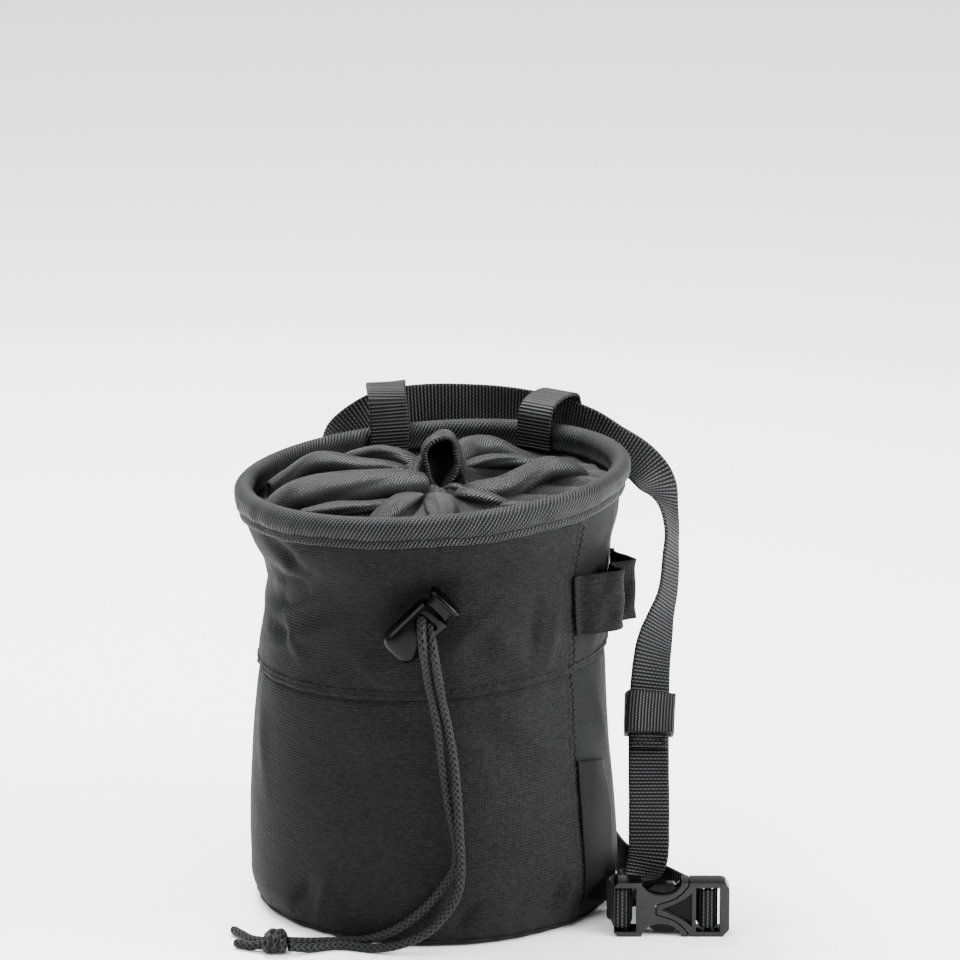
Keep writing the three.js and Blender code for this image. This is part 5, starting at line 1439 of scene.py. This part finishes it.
head_from = LOCK_LENGTH + PLUNGER_OUT - PLUNGER_HEAD
stem_less = 2 * (LOCK_WALL + GAP)
stem_rows = [(stem_end, 1), (head_from + 0.5, 1)]
stem = oval("cord_lock_button", LOCK_WIDTH - stem_less, LOCK_DEPTH - stem_less, stem_rows)
# height above the head's lower face and share of its full size: both faces have round edges
HEAD = [(0, 0.93), (0.25, 0.98), (0.7, 1), (1.2, 0.995), (1.6, 0.96), (1.85, 0.91), (PLUNGER_HEAD, 0.84)]
head_rows = [(head_from + up, share) for up, share in HEAD]
head = oval("head", LOCK_WIDTH + 0.6, LOCK_DEPTH - 0.4, head_rows)
cut(stem, slot_cutter(HOLE_LOW, HOLE_HIGH + PLUNGER_TRAVEL), join=(head,))
soften(stem, 0.12)
dress(stem, "plunger", LOCK_GLOSS, "lock_plastic", "cord_lock_plunger")

# %% [markdown]
# ## The side
# The brush sleeve is a short band of nylon sewn into the upright seam, with two open lobes side by side.
# The label is a flap sewn in lower down, plain but for a stripe.

# %% Brush sleeve
SLEEVE_HEIGHT, SLEEVE_TOP, SLEEVE_CLOTH = 22.0, 128.7, 1.3
SLEEVE_ON_WALL = GAP + SLEEVE_CLOTH / 2
# degrees from the upright seam, millimetres from the wall
SLEEVE_ROUTE = [
    (0.3, SLEEVE_ON_WALL), (2.2, SLEEVE_ON_WALL + 0.8), (4.9, 5.4), (7.4, 8.2), (10.6, 11.6),
    (12.6, 11.0), (14.2, 7.4), (16.4, 4.4), (19.0, 6.8), (21.6, 10.3), (23.6, 8.8), (28.0, 3.0),
    (30.6, SLEEVE_ON_WALL + 0.1), (34.0, SLEEVE_ON_WALL),
]


def brush_sleeve():
    middle = SLEEVE_TOP - SLEEVE_HEIGHT / 2
    places = []
    for turn, out in SLEEVE_ROUTE:
        angle = SIDE_SEAM + turn
        behind = [wall_point(angle, middle + share * SLEEVE_HEIGHT) for share in (-0.5, 0, 0.5)]
        radii = [math.hypot(*place[:2]) for place in behind]
        places.append(wall_point(angle, middle, out + max(radii) - radii[1]))
    route = Route(places, [(0, 0, 1)] * len(places))
    distances = np.linspace(0, route.length, 150)
    place, side, face = route.frames(distances)
    levels = np.linspace(-0.5, 0.5, 34)
    rows = []
    for k in range(len(distances)):
        free = math.sin(math.pi * distances[k] / route.length)
        hem = 0.35 * np.exp(-(((np.abs(levels) - 0.5) * SLEEVE_HEIGHT / 2.2) ** 2))
        ripple = 0.3 * np.sin(distances[k] / 2.6 + 3 * levels)
        ripple += 0.25 * np.sin(distances[k] / 1.4 - 9 * levels)
        lobe = 0.9 * np.cos(levels * math.pi) * np.sin(distances[k] / 6.5)
        loose = free * (ripple + lobe)
        middle_line = place[k] + side[k] * (levels * SLEEVE_HEIGHT)[:, None]
        outer = middle_line + face[k] * (SLEEVE_CLOTH / 2 + hem + loose)[:, None]
        inner = middle_line + face[k] * (-SLEEVE_CLOTH / 2 + loose)[:, None]
        rows.append(np.concatenate([outer, inner[::-1]]))
    up = np.concatenate([levels, levels[::-1], levels[:1]]) * SLEEVE_HEIGHT
    return grid_mesh("brush_sleeve_cloth", rows, woven(distances, up), closed_columns=True, caps=True)


dress(brush_sleeve(), "bag", NYLON, "body_nylon", "brush_sleeve")


# %% Label
LABEL_HEIGHT, LABEL_TOP, LABEL_CLOTH = 52.0, 60.5, 0.8
LABEL_FROM, LABEL_TURN = 1.5, 17.8  # degrees from the upright seam, and degrees wide
LABEL_LIFT, LABEL_DROOP = 1.8, 4.8  # its free corner's way off the wall, and its free edge's downwards
LABEL_FOLDS = 0.6  # share of the wall's folds that it follows


def label():
    column = np.linspace(0, 1, 26)
    angle = SIDE_SEAM + LABEL_FROM + LABEL_TURN * column
    rows = []
    for share in np.linspace(0, 1, 60):
        height = LABEL_TOP - LABEL_HEIGHT * (1 - share) - LABEL_DROOP * column
        lift = LABEL_LIFT * column**2 * (1 - share) + 0.35 * np.sin(math.pi * share * 3.2 + 1) * column**2
        face = wall_point(angle, height, 2 * GAP + lift + LABEL_CLOTH, LABEL_FOLDS)
        back = wall_point(angle, height, 2 * GAP + lift, LABEL_FOLDS)
        rows.append(np.concatenate([face, back[::-1]]))
    up = np.linspace(0, LABEL_HEIGHT, len(rows))
    across = np.concatenate([column, column[::-1], column[:1]]) * math.radians(LABEL_TURN) * RADIUS
    return grid_mesh("plain_label", rows, woven(up, across), closed_columns=True, caps=True)


dress(label(), "bag", LABEL, "label_cloth", "label")
